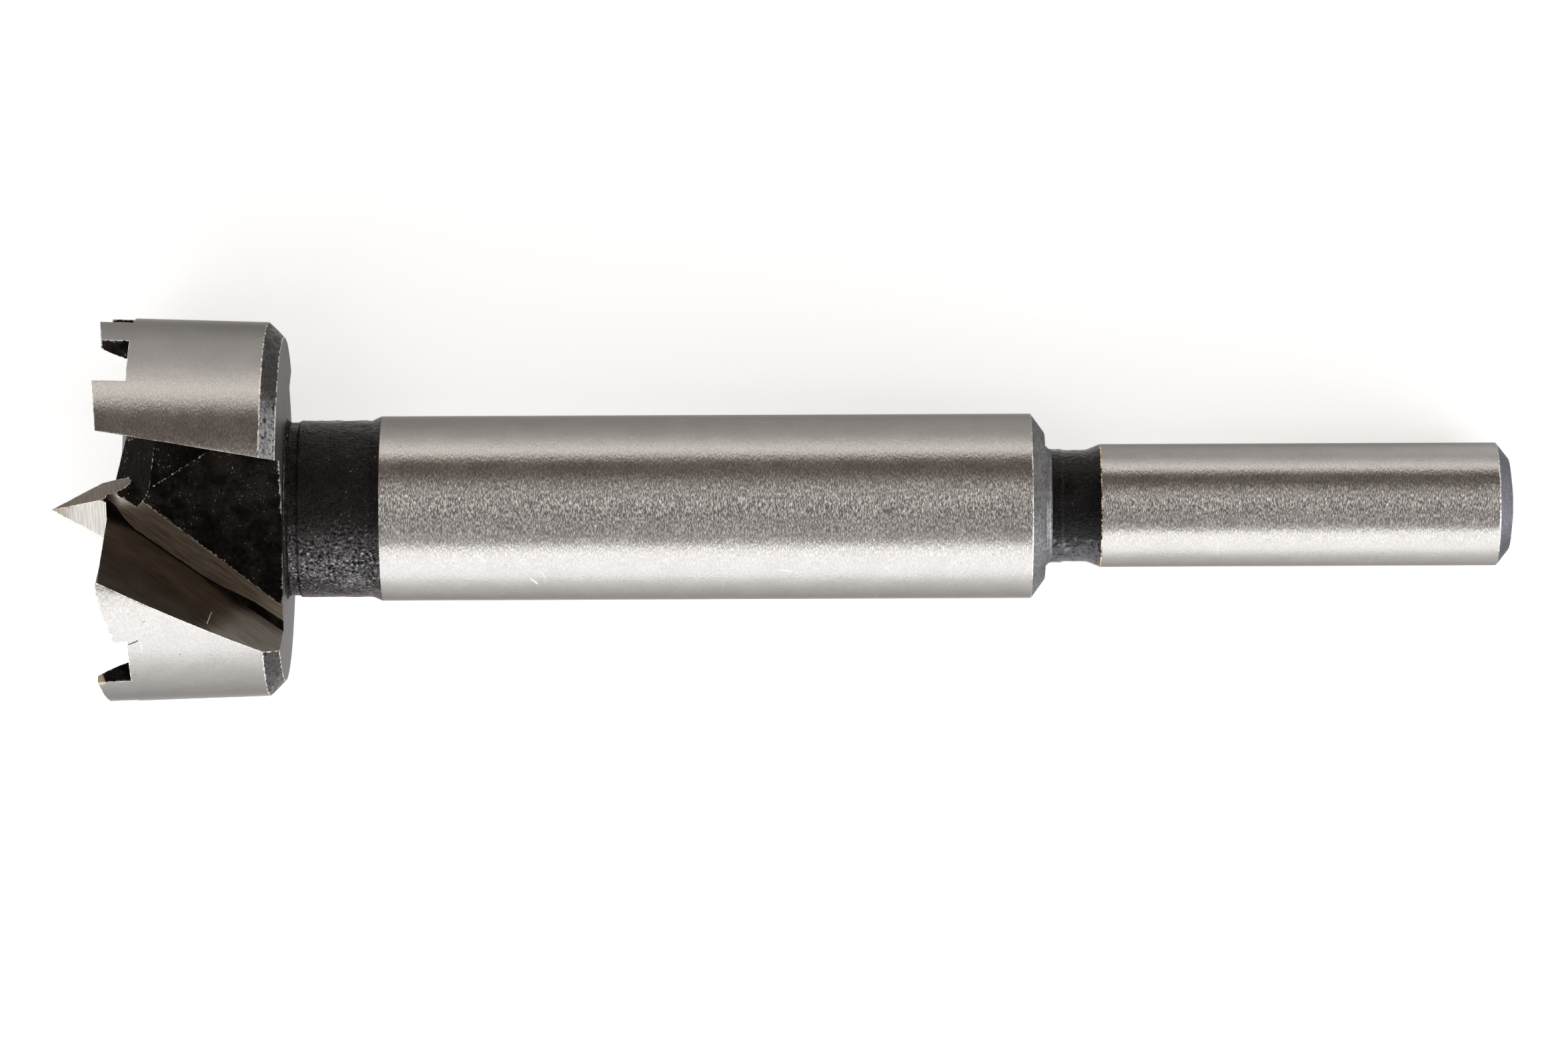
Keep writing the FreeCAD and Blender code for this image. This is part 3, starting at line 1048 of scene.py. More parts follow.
class Graph:
    """Adds nodes to a node tree."""

    def __init__(self, tree: Tree) -> None:
        """Takes the tree that the nodes go into."""
        self.tree = tree

    def join(self, socket: Socket, value: object) -> None:
        """Sets a socket to a value, or links another socket to it.

        Args:
            socket: The input.
            value: A number, a vector, a colour or an output of another node.
        """
        if isinstance(value, bpy.types.NodeSocket):
            self.tree.links.new(value, socket)
        elif socket.type == "RGBA":
            socket.default_value = (*value, 1.0)
        else:
            socket.default_value = value

    def add(self, kind: str, inputs: dict[str | int, object], **settings: object) -> bpy.types.Node:
        """Adds a node.

        Args:
            kind: The node's type.
            inputs: Values or sockets for its inputs, by name or number.
            settings: Properties of the node.

        Returns:
            The node.
        """
        node = self.tree.nodes.new(kind)
        for name, value in settings.items():
            setattr(node, name, value)
        for name, value in inputs.items():
            self.join(node.inputs[name], value)
        return node

    def math(self, operation: str, *values: Value) -> Socket:
        """The result of a Math node."""
        return self.add("ShaderNodeMath", dict(enumerate(values)), operation=operation).outputs[0]

    def hold(self, value: Value) -> Socket:
        """A value held between 0 and 1."""
        return self.math("MINIMUM", self.math("MAXIMUM", value, 0.0), 1.0)

    def step(self, value: Value, low: Value, high: Value, to_low: Value = 0.0,
             to_high: Value = 1.0) -> Socket:
        """A value carried from one range to another, with soft ends."""
        inputs = {"Value": value, "From Min": low, "From Max": high, "To Min": to_low, "To Max": to_high}
        return self.add("ShaderNodeMapRange", inputs, interpolation_type="SMOOTHSTEP").outputs["Result"]

    def spread(self, value: Value, low: Value, high: Value) -> Socket:
        """A value from 0 to 1 carried to another range, with soft ends."""
        return self.step(value, 0.0, 1.0, low, high)

    def blend(self, share: Value, first: Value, second: Value) -> Value:
        """Mixes two values.

        Args:
            share: How much of the second there is, from 0 to 1.
            first: The first value.
            second: The second value.

        Returns:
            The mix, or the value itself where both are the same.
        """
        if first == second:
            return first
        return self.add("ShaderNodeMix", {0: share, 2: first, 3: second}, data_type="FLOAT").outputs[0]

    def blend_colour(self, share: Value, first: Tint, second: Tint) -> Tint:
        """Mixes two colours.

        Args:
            share: How much of the second there is, from 0 to 1.
            first: The first colour.
            second: The second colour.

        Returns:
            The mix, or the colour itself where both are the same.
        """
        if first == second:
            return first
        return self.add("ShaderNodeMix", {0: share, 6: first, 7: second}, data_type="RGBA").outputs[2]

    def shade(self, colour: Tint, level: Value) -> Socket:
        """A colour made lighter or darker."""
        return self.add("ShaderNodeVectorMath", {0: colour, "Scale": level}, operation="SCALE").outputs[0]

    def stretch(self, vector: Socket, factors: object) -> Socket:
        """A vector times a factor for each direction."""
        return self.add("ShaderNodeVectorMath", {0: vector, 1: factors}, operation="MULTIPLY").outputs[0]

    def shift(self, vector: Socket, by: object) -> Socket:
        """A vector moved by another."""
        return self.add("ShaderNodeVectorMath", {0: vector, 1: by}, operation="ADD").outputs[0]

    def subtract(self, vector: Socket, other: Socket) -> Socket:
        """A vector less another."""
        return self.add("ShaderNodeVectorMath", {0: vector, 1: other}, operation="SUBTRACT").outputs[0]

    def dot(self, first: Socket, second: object) -> Socket:
        """The dot product of two vectors."""
        inputs = {0: first, 1: second}
        return self.add("ShaderNodeVectorMath", inputs, operation="DOT_PRODUCT").outputs["Value"]

    def noise(self, vector: Socket, scale: Value, detail: float, roughness: float) -> Socket:
        """The value of a noise texture."""
        inputs = {"Vector": vector, "Scale": scale, "Detail": detail, "Roughness": roughness}
        return self.add("ShaderNodeTexNoise", inputs).outputs[0]

    def parts(self, vector: Socket) -> tuple[Socket, Socket, Socket]:
        """The three parts of a vector."""
        return tuple(self.add("ShaderNodeSeparateXYZ", {0: vector}).outputs)

    def use_with(self, effect: Tree, inputs: dict[str, object]) -> bpy.types.Node:
        """Places a shared effect.

        Args:
            effect: The effect's node group.
            inputs: Values or sockets for its inputs, by name.

        Returns:
            The group's node.
        """
        node = self.tree.nodes.new("ShaderNodeGroup")
        node.node_tree = effect
        for name, value in inputs.items():
            self.join(node.inputs[name], value)
        return node


class Effect:
    """A node group under construction, with named inputs and outputs."""

    def __init__(self, name: str, inputs: dict[str, object], outputs: list[str]) -> None:
        """Starts the group.

        Args:
            name: The group's name.
            inputs: Each input's first value. Three numbers make it a vector.
            outputs: Names of the outputs, which are all plain values.
        """
        self.tree = bpy.data.node_groups.new(name, "ShaderNodeTree")
        for label, value in inputs.items():
            kind = "NodeSocketVector" if isinstance(value, tuple) else "NodeSocketFloat"
            self.tree.interface.new_socket(label, in_out="INPUT", socket_type=kind).default_value = value
        for label in outputs:
            self.tree.interface.new_socket(label, in_out="OUTPUT", socket_type="NodeSocketFloat")
        self.graph = Graph(self.tree)
        self.given = self.tree.nodes.new("NodeGroupInput").outputs
        self.result = self.tree.nodes.new("NodeGroupOutput").inputs

    def give(self, label: str, value: Value) -> None:
        """Sets one of the group's outputs."""
        self.graph.join(self.result[label], value)


NO_PLACE = (0.0, 0.0, 0.0)
TONE_SHIFT = (7.3, 1.9, 4.1)
SPECK_SHIFT = (3.1, 8.7, 2.2)
SCRATCH_SHIFT = (5.0, 5.0, 5.0)
GLINT_STRETCH = (1.6, 0.6, 0.6)
USUAL_NOISE = (0.3, 0.7)
FLECK_TONES = (0.6, 0.78)
SPECK_TONES = (0.74, 0.8)
SIDE_POWER = 6.0
FINE_LUMPS = 3.1
FINE_SHARE = 0.25
LUMP_TOPS = (0.44, 0.6)
LUMP_PEAKS = (0.7, 0.8)
TOPS_HEIGHT = 0.4
GLINT_SOFTNESS = 0.05
GLINT_TONES = (0.46, 0.6)
WEAR_NOISE = (0.38, 0.68)
MOST_WEAR = 2.0
THIN_BORDER = (0.002, 0.007)
SCRATCHED_NOISE = (0.6, 0.66)
SCRATCH_BEND = 0.5
STEEL_TINT = (0.45, 0.45, 0.45)
WARM_TINT = (0.4, 0.37, 0.36)


def grinding_lines() -> Tree:
    """Builds the short lines that grinding leaves, along the second grain coordinate.

    Returns:
        The effect, with the lines' height and tone, bright flecks, wide patches and dark specks.
    """
    effect = Effect("grinding_lines", {"Grain": NO_PLACE, "Width": 0.07, "Length": 0.3},
                    ["Height", "Tone", "Flecks", "Patches", "Specks"])
    g, given = effect.graph, effect.given
    per_width = g.math("DIVIDE", 1.0, given["Width"])
    per_length = g.math("DIVIDE", 1.0, given["Length"])
    factors = g.add("ShaderNodeCombineXYZ", {0: per_width, 1: per_length, 2: per_length}).outputs[0]
    stretched = g.stretch(given["Grain"], factors)
    tone = g.noise(g.shift(stretched, TONE_SHIFT), scale=1.0, detail=2.0, roughness=0.5)
    patches = g.noise(given["Grain"], scale=0.5, detail=3.0, roughness=0.6)
    specks = g.noise(g.shift(given["Grain"], SPECK_SHIFT), scale=5.5, detail=1.0, roughness=0.5)
    effect.give("Height", g.noise(stretched, scale=1.0, detail=2.0, roughness=0.6))
    effect.give("Tone", g.step(tone, *USUAL_NOISE))
    effect.give("Flecks", g.step(tone, *FLECK_TONES))
    effect.give("Patches", g.step(patches, *USUAL_NOISE))
    effect.give("Specks", g.step(specks, *SPECK_TONES))
    return effect.tree


def side_share() -> Tree:
    """Builds the share of a round surface's near and far sides: (z^2 / (y^2 + z^2)) ^ SIDE_POWER.

    Returns:
        The effect, with one along the near and far sides of the axis and none along the two others.
    """
    effect = Effect("side_share", {"Grain": NO_PLACE}, ["Share"])
    g = effect.graph
    _, up, near = g.parts(effect.given["Grain"])
    near_square = g.math("MULTIPLY", near, near)
    both = g.math("MULTIPLY_ADD", up, up, near_square)
    effect.give("Share", g.math("POWER", g.math("DIVIDE", near_square, both), SIDE_POWER))
    return effect.tree


def forged_skin() -> Tree:
    """Builds the uneven skin of forged steel, from large lumps with a share of fine ones.

    Returns:
        The effect, with the skin's height, its flat tops and highest spots, glints, and a wide tone.
    """
    effect = Effect("forged_skin", {"Grain": NO_PLACE, "Size": 0.3, "Glints": 0.66},
                    ["Height", "Tops", "Peaks", "Glint", "Tone"])
    g, given = effect.graph, effect.given
    per_size = g.math("DIVIDE", 1.0, given["Size"])
    lumps = g.noise(given["Grain"], per_size, detail=2.5, roughness=0.55)
    fine = g.noise(given["Grain"], g.math("MULTIPLY", per_size, FINE_LUMPS), detail=2.0, roughness=0.6)
    height = g.math("MULTIPLY_ADD", fine, FINE_SHARE, lumps)
    tops = g.step(height, *LUMP_TOPS)
    tone = g.noise(given["Grain"], scale=0.7, detail=3.0, roughness=0.6)
    specks = g.noise(g.stretch(given["Grain"], GLINT_STRETCH), scale=8.8, detail=1.0, roughness=0.5)
    bright = g.step(specks, given["Glints"], g.math("ADD", given["Glints"], GLINT_SOFTNESS))
    effect.give("Height", g.math("MULTIPLY_ADD", tops, TOPS_HEIGHT, height))
    effect.give("Tops", tops)
    effect.give("Peaks", g.step(height, *LUMP_PEAKS))
    effect.give("Glint", g.math("MULTIPLY", bright, g.step(tone, *GLINT_TONES)))
    effect.give("Tone", g.step(tone, *USUAL_NOISE))
    return effect.tree


def edge_wear() -> Tree:
    """Builds the wear of sharp edges, whose width is up to MOST_WEAR times the one asked for.

    Returns:
        The effect, with one at a sharp edge and none at a ragged width from it.
    """
    effect = Effect("edge_wear", {"Grain": NO_PLACE, "Distance": 1.0, "Width": 0.08}, ["Wear"])
    g, given = effect.graph, effect.given
    uneven = g.noise(given["Grain"], scale=3.6, detail=3.0, roughness=0.7)
    reach = g.math("MULTIPLY", given["Width"], g.step(uneven, *WEAR_NOISE, 0.0, MOST_WEAR))
    effect.give("Wear", g.step(given["Distance"], g.math("MULTIPLY", reach, 0.5), reach, 1.0, 0.0))
    return effect.tree


def handling_scratches() -> Tree:
    """Builds a few thin scratches from use, along the borders of bent cells.

    Returns:
        The effect, with the asked amount on the scratches, which show in patches.
    """
    effect = Effect("handling_scratches", {"Grain": NO_PLACE, "Amount": 0.5}, ["Scratch"])
    g, given = effect.graph, effect.given
    bent = g.shift(given["Grain"], g.noise(given["Grain"], scale=0.35, detail=1.0, roughness=0.4))
    cells = g.add("ShaderNodeTexVoronoi", {"Vector": bent, "Scale": 0.3}, feature="DISTANCE_TO_EDGE")
    thin = g.step(cells.outputs["Distance"], *THIN_BORDER, 1.0, 0.0)
    patches = g.noise(g.shift(given["Grain"], SCRATCH_SHIFT), scale=0.45, detail=2.0, roughness=0.5)
    shown = g.math("MULTIPLY", thin, g.step(patches, *SCRATCHED_NOISE))
    effect.give("Scratch", g.math("MULTIPLY", shown, given["Amount"]))
    return effect.tree


def single_scratch() -> Tree:
    """Builds one scratch, where the distance from the line between two places is small.

    The nearest place on the line is a + t * (b - a), with t = (p - a) . (b - a) / |b - a|^2 held
    between 0 and 1.

    Returns:
        The effect, with one on the scratch.
    """
    effect = Effect("single_scratch", {"Grain": NO_PLACE, "Start": NO_PLACE, "End": NO_PLACE, "Width": 0.05},
                    ["Scratch"])
    g, given = effect.graph, effect.given
    run = g.subtract(given["End"], given["Start"])
    uneven = g.noise(given["Grain"], scale=1.2, detail=1.0, roughness=0.5)
    bend = g.math("MULTIPLY_ADD", uneven, SCRATCH_BEND, -SCRATCH_BEND / 2)
    wavy = g.shift(given["Grain"], g.add("ShaderNodeCombineXYZ", {0: bend}).outputs[0])
    away = g.subtract(wavy, given["Start"])
    share = g.math("DIVIDE", g.dot(away, run), g.dot(run, run))
    rest = g.subtract(away, g.shade(run, g.hold(share)))
    distance = g.math("SQRT", g.dot(rest, rest))
    half_width = g.math("MULTIPLY", given["Width"], 0.5)
    effect.give("Scratch", g.step(distance, half_width, given["Width"], 1.0, 0.0))
    return effect.tree


@dataclass(frozen=True)
class Channels:
    """What a surface gives to its shader: colour, metal share, roughness, and height in millimetres."""

    colour: Tint
    metal: Value
    roughness: Value
    height: Value

    def under(self, g: Graph, share: Socket, top: "Channels") -> "Channels":
        """These channels with others laid over them by a share."""
        return Channels(
            g.blend_colour(share, self.colour, top.colour), g.blend(share, self.metal, top.metal),
            g.blend(share, self.roughness, top.roughness), g.blend(share, self.height, top.height))


class Bench:
    """The tree, the grain coordinates and the edge distance of one material, with the shared effects."""

    effects: dict[str, Tree] = {}

    def __init__(self, name: str) -> None:
        """Starts a material.

        Args:
            name: The material's name.
        """
        self.material = bpy.data.materials.new(name)
        self.material.use_nodes = True
        tree = self.material.node_tree
        tree.nodes.clear()
        self.graph = Graph(tree)
        self.grain = self.graph.add("ShaderNodeAttribute", {}, attribute_name="grain").outputs["Vector"]
        self.edge = self.graph.add("ShaderNodeAttribute", {}, attribute_name="edge").outputs["Fac"]

    def effect(self, make: Callable[[], Tree], **inputs: object) -> bpy.types.NodeOutputs:
        """Places a shared effect, which is built on its first use.

        Args:
            make: The function that builds the effect.
            inputs: Values or sockets for its inputs, besides the grain.

        Returns:
            The effect's outputs.
        """
        if make.__name__ not in self.effects:
            self.effects[make.__name__] = make()
        return self.graph.use_with(self.effects[make.__name__], {"Grain": self.grain, **inputs}).outputs

    def finish(self, channels: Channels, specular: float, tint: Colour) -> bpy.types.Material:
        """Joins channels to the material's shader.

        Args:
            channels: The surface's channels.
            specular: How strongly the black parts reflect, where 0.5 is a plain varnish.
            tint: The tint of bare steel at grazing angles, and of the black parts seen straight on.

        Returns:
            The finished material.
        """
        g = self.graph
        bump = g.add("ShaderNodeBump", {"Height": channels.height, "Distance": MM, "Strength": 1.0})
        inputs = {"Base Color": channels.colour, "Metallic": channels.metal, "Roughness": channels.roughness,
                  "Normal": bump.outputs[0], "Specular IOR Level": specular, "Specular Tint": tint}
        shader = g.add("ShaderNodeBsdfPrincipled", inputs)
        g.add("ShaderNodeOutputMaterial", {"Surface": shader.outputs[0]})
        return self.material


class Mark(Protocol):
    """What can lie over a finish."""

    def over(self, bench: Bench, base: Channels) -> Channels:
        """The channels with the mark laid over them."""


@dataclass(frozen=True)
class Scratch:
    """A scratch between two places, in grain coordinates."""

    start: tuple[float, float, float]
    end: tuple[float, float, float]
    width: float
    colour: Colour = (0.8, 0.78, 0.75)
    metal: float = 0.3
    roughness: float = 0.6

    def over(self, bench: Bench, base: Channels) -> Channels:
        """The channels with the scratch laid over them."""
        found = bench.effect(single_scratch, Start=self.start, End=self.end, Width=self.width)["Scratch"]
        return base.under(bench.graph, found, Channels(self.colour, self.metal, self.roughness, base.height))


@dataclass(frozen=True)
class GroundSteel:
    """Bright steel with short grinding lines, flecks, dark specks and a few scratches.

    Along the near and far sides of a round surface the lines' contrast is raised and bright flecks are added:
    painted sparkle where light glitters on the grinding. Specular and tint count only where something that
    isn't bare metal lies over the steel.
    """

    colour: Colour = (0.36, 0.347, 0.336)
    metal: float = 1.0
    roughness: float = 0.19
    polish: float = 0.02
    dullness: float = 0.03
    line_width: float = 0.068
    line_length: float = 0.22
    line_depth: float = 0.02
    contrast: float = 0.05
    painted_side_contrast: float = 0.0
    flecks: float = 0.0
    patch_contrast: float = 0.03
    speck_tone: float = 0.5
    scratches: float = 0.35
    scratch_colour: Colour = (0.7, 0.68, 0.65)
    specular: float = 0.5
    tint: Colour = STEEL_TINT

    def channels(self, bench: Bench) -> Channels:
        """Works out the surface: the lines change its height and tone, and the patches its gloss.

        Args:
            bench: The material's bench.

        Returns:
            The surface's channels.
        """
        g = bench.graph
        lines = bench.effect(grinding_lines, Width=self.line_width, Length=self.line_length)
        side = bench.effect(side_share)["Share"]
        # Along the near and far sides, the stronger contrast and the bright flecks are painted sparkle.
        contrast = g.math("MULTIPLY_ADD", side, self.painted_side_contrast, self.contrast)
        tone = g.math("MULTIPLY_ADD", g.spread(lines["Tone"], -1.0, 1.0), contrast, 1.0)
        flecks = g.math("MULTIPLY", g.math("MULTIPLY", lines["Flecks"], side), self.flecks)
        patch = g.spread(lines["Patches"], 1.0 - self.patch_contrast, 1.0 + self.patch_contrast)
        specks = g.spread(lines["Specks"], 1.0, self.speck_tone)
        level = g.math("MULTIPLY", g.math("MULTIPLY", g.math("ADD", tone, flecks), patch), specks)
        scratch = bench.effect(handling_scratches, Amount=self.scratches)["Scratch"]
        height = g.math("MULTIPLY", lines["Height"], self.line_depth)
        roughness = g.spread(lines["Patches"], self.roughness - self.polish, self.roughness + self.dullness)
        colour = g.blend_colour(scratch, g.shade(self.colour, level), self.scratch_colour)
        return Channels(colour, self.metal, roughness, height)


@dataclass(frozen=True)
class BlackSkin:
    """Black forged steel: a dark oxide skin with lumps, lighter high spots, and glints of bare steel.

    On the side of negative y, which faces the brightest light, the high spots are painted lighter and partly
    metal, with bright metal peaks: painted light.
    """

    colour: Colour = (0.002, 0.0019, 0.0019)
    specular: float = 0.36
    tint: Colour = STEEL_TINT
    roughness: float = 0.27
    polish: float = 0.06
    dullness: float = 0.08
    dark_tone: float = 0.6
    light_tone: float = 1.5
    skin_size: float = 0.34
    skin_depth: float = 0.04
    glints: float = 0.74
    glint_colour: Colour = (0.6, 0.58, 0.55)
    glint_roughness: float = 0.5
    top_colour: Colour = (0.006, 0.0055, 0.0055)
    lit_side_colour: Colour = (0.006, 0.0055, 0.0055)
    lit_peak_colour: Colour = (0.02, 0.019, 0.018)
    lit_side_from: float = 0.4
    lit_side_full: float = -2.6
    lit_side_spread: float = 1.6
    lit_side_metal: float = 0.0

    def channels(self, bench: Bench) -> Channels:
        """Works out the surface: dark and glossy, metal in the glints, and painted lighter on the side of
        negative y.

        Args:
            bench: The material's bench.

        Returns:
            The surface's channels.
        """
        g = bench.graph
        _, up, _ = g.parts(bench.grain)
        skin = bench.effect(forged_skin, Size=self.skin_size, Glints=self.glints)
        # The share of painted light on the side of negative y, which faces the brightest light, with a ragged
        # border.
        ragged = g.math("MULTIPLY_ADD", skin["Tone"], self.lit_side_spread, up)
        worn = g.step(ragged, self.lit_side_full, self.lit_side_from, 1.0, 0.0)
        shade = g.spread(skin["Tone"], self.dark_tone, self.light_tone)
        roughness = g.spread(skin["Tone"], self.roughness - self.polish, self.roughness + self.dullness)
        height = g.math("MULTIPLY", skin["Height"], self.skin_depth)
        tops = g.blend_colour(worn, self.top_colour, self.lit_side_colour)
        colour = g.blend_colour(skin["Tops"], self.colour, tops)
        plain = Channels(g.shade(colour, shade), g.math("MULTIPLY", worn, self.lit_side_metal), roughness, height)
        # Bright metal peaks on that side: painted highlights.
        peaks = g.math("MULTIPLY", skin["Peaks"], worn)
        lit = plain.under(g, peaks, Channels(self.lit_peak_colour, 1.0, self.roughness, height))
        return lit.under(g, skin["Glint"], Channels(self.glint_colour, 1.0, self.glint_roughness, height))


@dataclass(frozen=True)
class WornEdge:
    """Bare bright steel in a thin broken line along sharp edges."""

    colour: Colour = (0.75, 0.72, 0.68)
    roughness: float = 0.4
    width: float = 0.05

    def over(self, bench: Bench, base: Channels) -> Channels:
        """The channels with the worn edge laid over them."""
        wear = bench.effect(edge_wear, Distance=bench.edge, Width=self.width)["Wear"]
        return base.under(bench.graph, wear, Channels(self.colour, 1.0, self.roughness, base.height))


@dataclass(frozen=True)
class GrooveBottom:
    """A black strip of skin along the bottom of the groove, wide at both ends of the face."""

    skin: BlackSkin
    front_from: float = 0.4
    front_to: float = 2.6
    front_width: float = 0.85
    waist_width: float = 0.16
    back_from: float = 7.5
    back_to: float = 12.5
    back_width: float = 0.75
    raggedness: float = 0.12
    softness: float = 0.02

    def over(self, bench: Bench, base: Channels) -> Channels:
        """Lays the skin where the distance from the bottom is under a width that changes along it.

        At the front the width falls as (1 - t)^2, with t from 0 to 1 over the front's length.

        Args:
            bench: The material's bench.
            base: The ground face's channels.

        Returns:
            The channels with the strip laid over them.
        """
        g = bench.graph
        away, along, _ = g.parts(bench.grain)
        left = g.math("DIVIDE", g.math("SUBTRACT", self.front_to, along), self.front_to - self.front_from)
        front = g.math("MULTIPLY_ADD", g.math("POWER", g.hold(left), 2.0), self.front_width, self.waist_width)
        back = g.step(along, self.back_from, self.back_to, 0.0, self.back_width)
        uneven = g.noise(bench.grain, scale=2.6, detail=3.0, roughness=0.6)
        ragged = g.math("MULTIPLY_ADD", uneven, self.raggedness, -0.5 * self.raggedness)
        width = g.math("ADD", g.math("ADD", front, back), ragged)
        inside = g.math("SUBTRACT", width, g.math("ABSOLUTE", away))
        share = g.step(inside, -self.softness, self.softness)
        return base.under(g, share, self.skin.channels(bench))


@dataclass(frozen=True)
class LighterRakeEnd:
    """Lighter steel over the back end of the rake face, and a little over its outer corner, where it is
    painted light that lifts the shade the face reflects there.
    """

    steel: GroundSteel
    start: float = 11.2
    full: float = 13.4
    raggedness: float = 1.4
    streaks: tuple[float, float, float] = (1.8, 0.35, 1.0)
    corner_from: float = 4.5
    corner_to: float = 7.8
    corner_painted_light: float = 0.12

    def over(self, bench: Bench, base: Channels) -> Channels:
        """Lays the lighter steel over the back end, with an uneven change.

        Args:
            bench: The material's bench.
            base: The rake face's channels.

        Returns:
            The channels with the rubbed end laid over them.
        """
        g = bench.graph
        away, along, _ = g.parts(bench.grain)
        ragged = g.noise(g.stretch(bench.grain, self.streaks), scale=1.0, detail=3.0, roughness=0.6)
        end = g.step(g.math("MULTIPLY_ADD", ragged, self.raggedness, along), self.start, self.full)
        # The outer corner's small lift is painted light over a shaded part of the face.
        corner = g.step(g.math("ABSOLUTE", away), self.corner_from, self.corner_to, 0.0, self.corner_painted_light)
        return base.under(g, g.math("MAXIMUM", end, corner), self.steel.channels(bench))


@dataclass(frozen=True)
class StainedTip:
    """The brown, heat-stained tip of the centre point."""

    colour: Colour = (0.17, 0.125, 0.085)
    roughness: float = 0.45
    full: float = 0.15
    end: float = 1.9
    narrowing: float = 0.6
    streaks: tuple[float, float, float] = (5.0, 0.8, 1.0)
    strength: float = 0.75

    def over(self, bench: Bench, base: Channels) -> Channels:
        """Lays the stain over the tip, by the distance from it and a ragged noise.

        Args:
            bench: The material's bench.
            base: The point's channels.

        Returns:
            The channels with the stain laid over them.
        """
        g = bench.graph
        away, _, _ = g.parts(bench.grain)
        ragged = g.noise(g.stretch(bench.grain, self.streaks), scale=1.0, detail=2.0, roughness=0.6)
        reach = g.math("MULTIPLY_ADD", g.math("ABSOLUTE", away), self.narrowing, ragged)
        share = g.math("MULTIPLY", g.step(reach, self.full, self.end, 1.0, 0.0), self.strength)
        return base.under(g, share, Channels(self.colour, 1.0, self.roughness, base.height))


@dataclass(frozen=True)
class RubbedBevel:
    """Patches of black skin on the bevel, and its rubbed part near each sector's trailing end."""

    steel: GroundSteel
    skin: BlackSkin
    full: float = 0.5
    start: float = 0.9
    turned_back: float = 0.1
    patches: tuple[float, float] = (0.4, 0.6)
    rubbed_patches: tuple[float, float] = (0.5, 0.62)

    def over(self, bench: Bench, base: Channels) -> Channels:
        """Lays the rubbed steel and then the skin over the bevel.

        The trailing end is found from the slope y / z of the place seen along the axis.

        Args:
            bench: The material's bench.
            base: The bevel's channels.

        Returns:
            The channels with both laid over them.
        """
        g = bench.graph
        _, up, near = g.parts(bench.grain)
        slope = g.math("DIVIDE", up, near)
        ahead = g.step(slope, self.turned_back, 2 * self.turned_back)
        rubbed = g.math("MULTIPLY", ahead, g.step(slope, self.full, self.start, 1.0, 0.0))
        uneven = g.noise(bench.grain, scale=3.6, detail=3.0, roughness=0.7)
        low, high = (g.blend(rubbed, *ends) for ends in zip(self.patches, self.rubbed_patches))
        patches = g.step(uneven, low, high)
        bare = base.under(g, rubbed, self.steel.channels(bench))
        return bare.under(g, patches, self.skin.channels(bench))


def made_finish(finish: Finish, surface: GroundSteel | BlackSkin, marks: list[Mark]) -> bpy.types.Material:
    """Makes the material of a finish.

    Args:
        finish: The finish, which names the material.
        surface: What the whole surface is made of.
        marks: What lies over it, each over the ones before.

    Returns:
        The material.
    """
    bench = Bench(finish.value)
    channels = surface.channels(bench)
    for mark in marks:
        channels = mark.over(bench, channels)
    return bench.finish(channels, surface.specular, surface.tint)


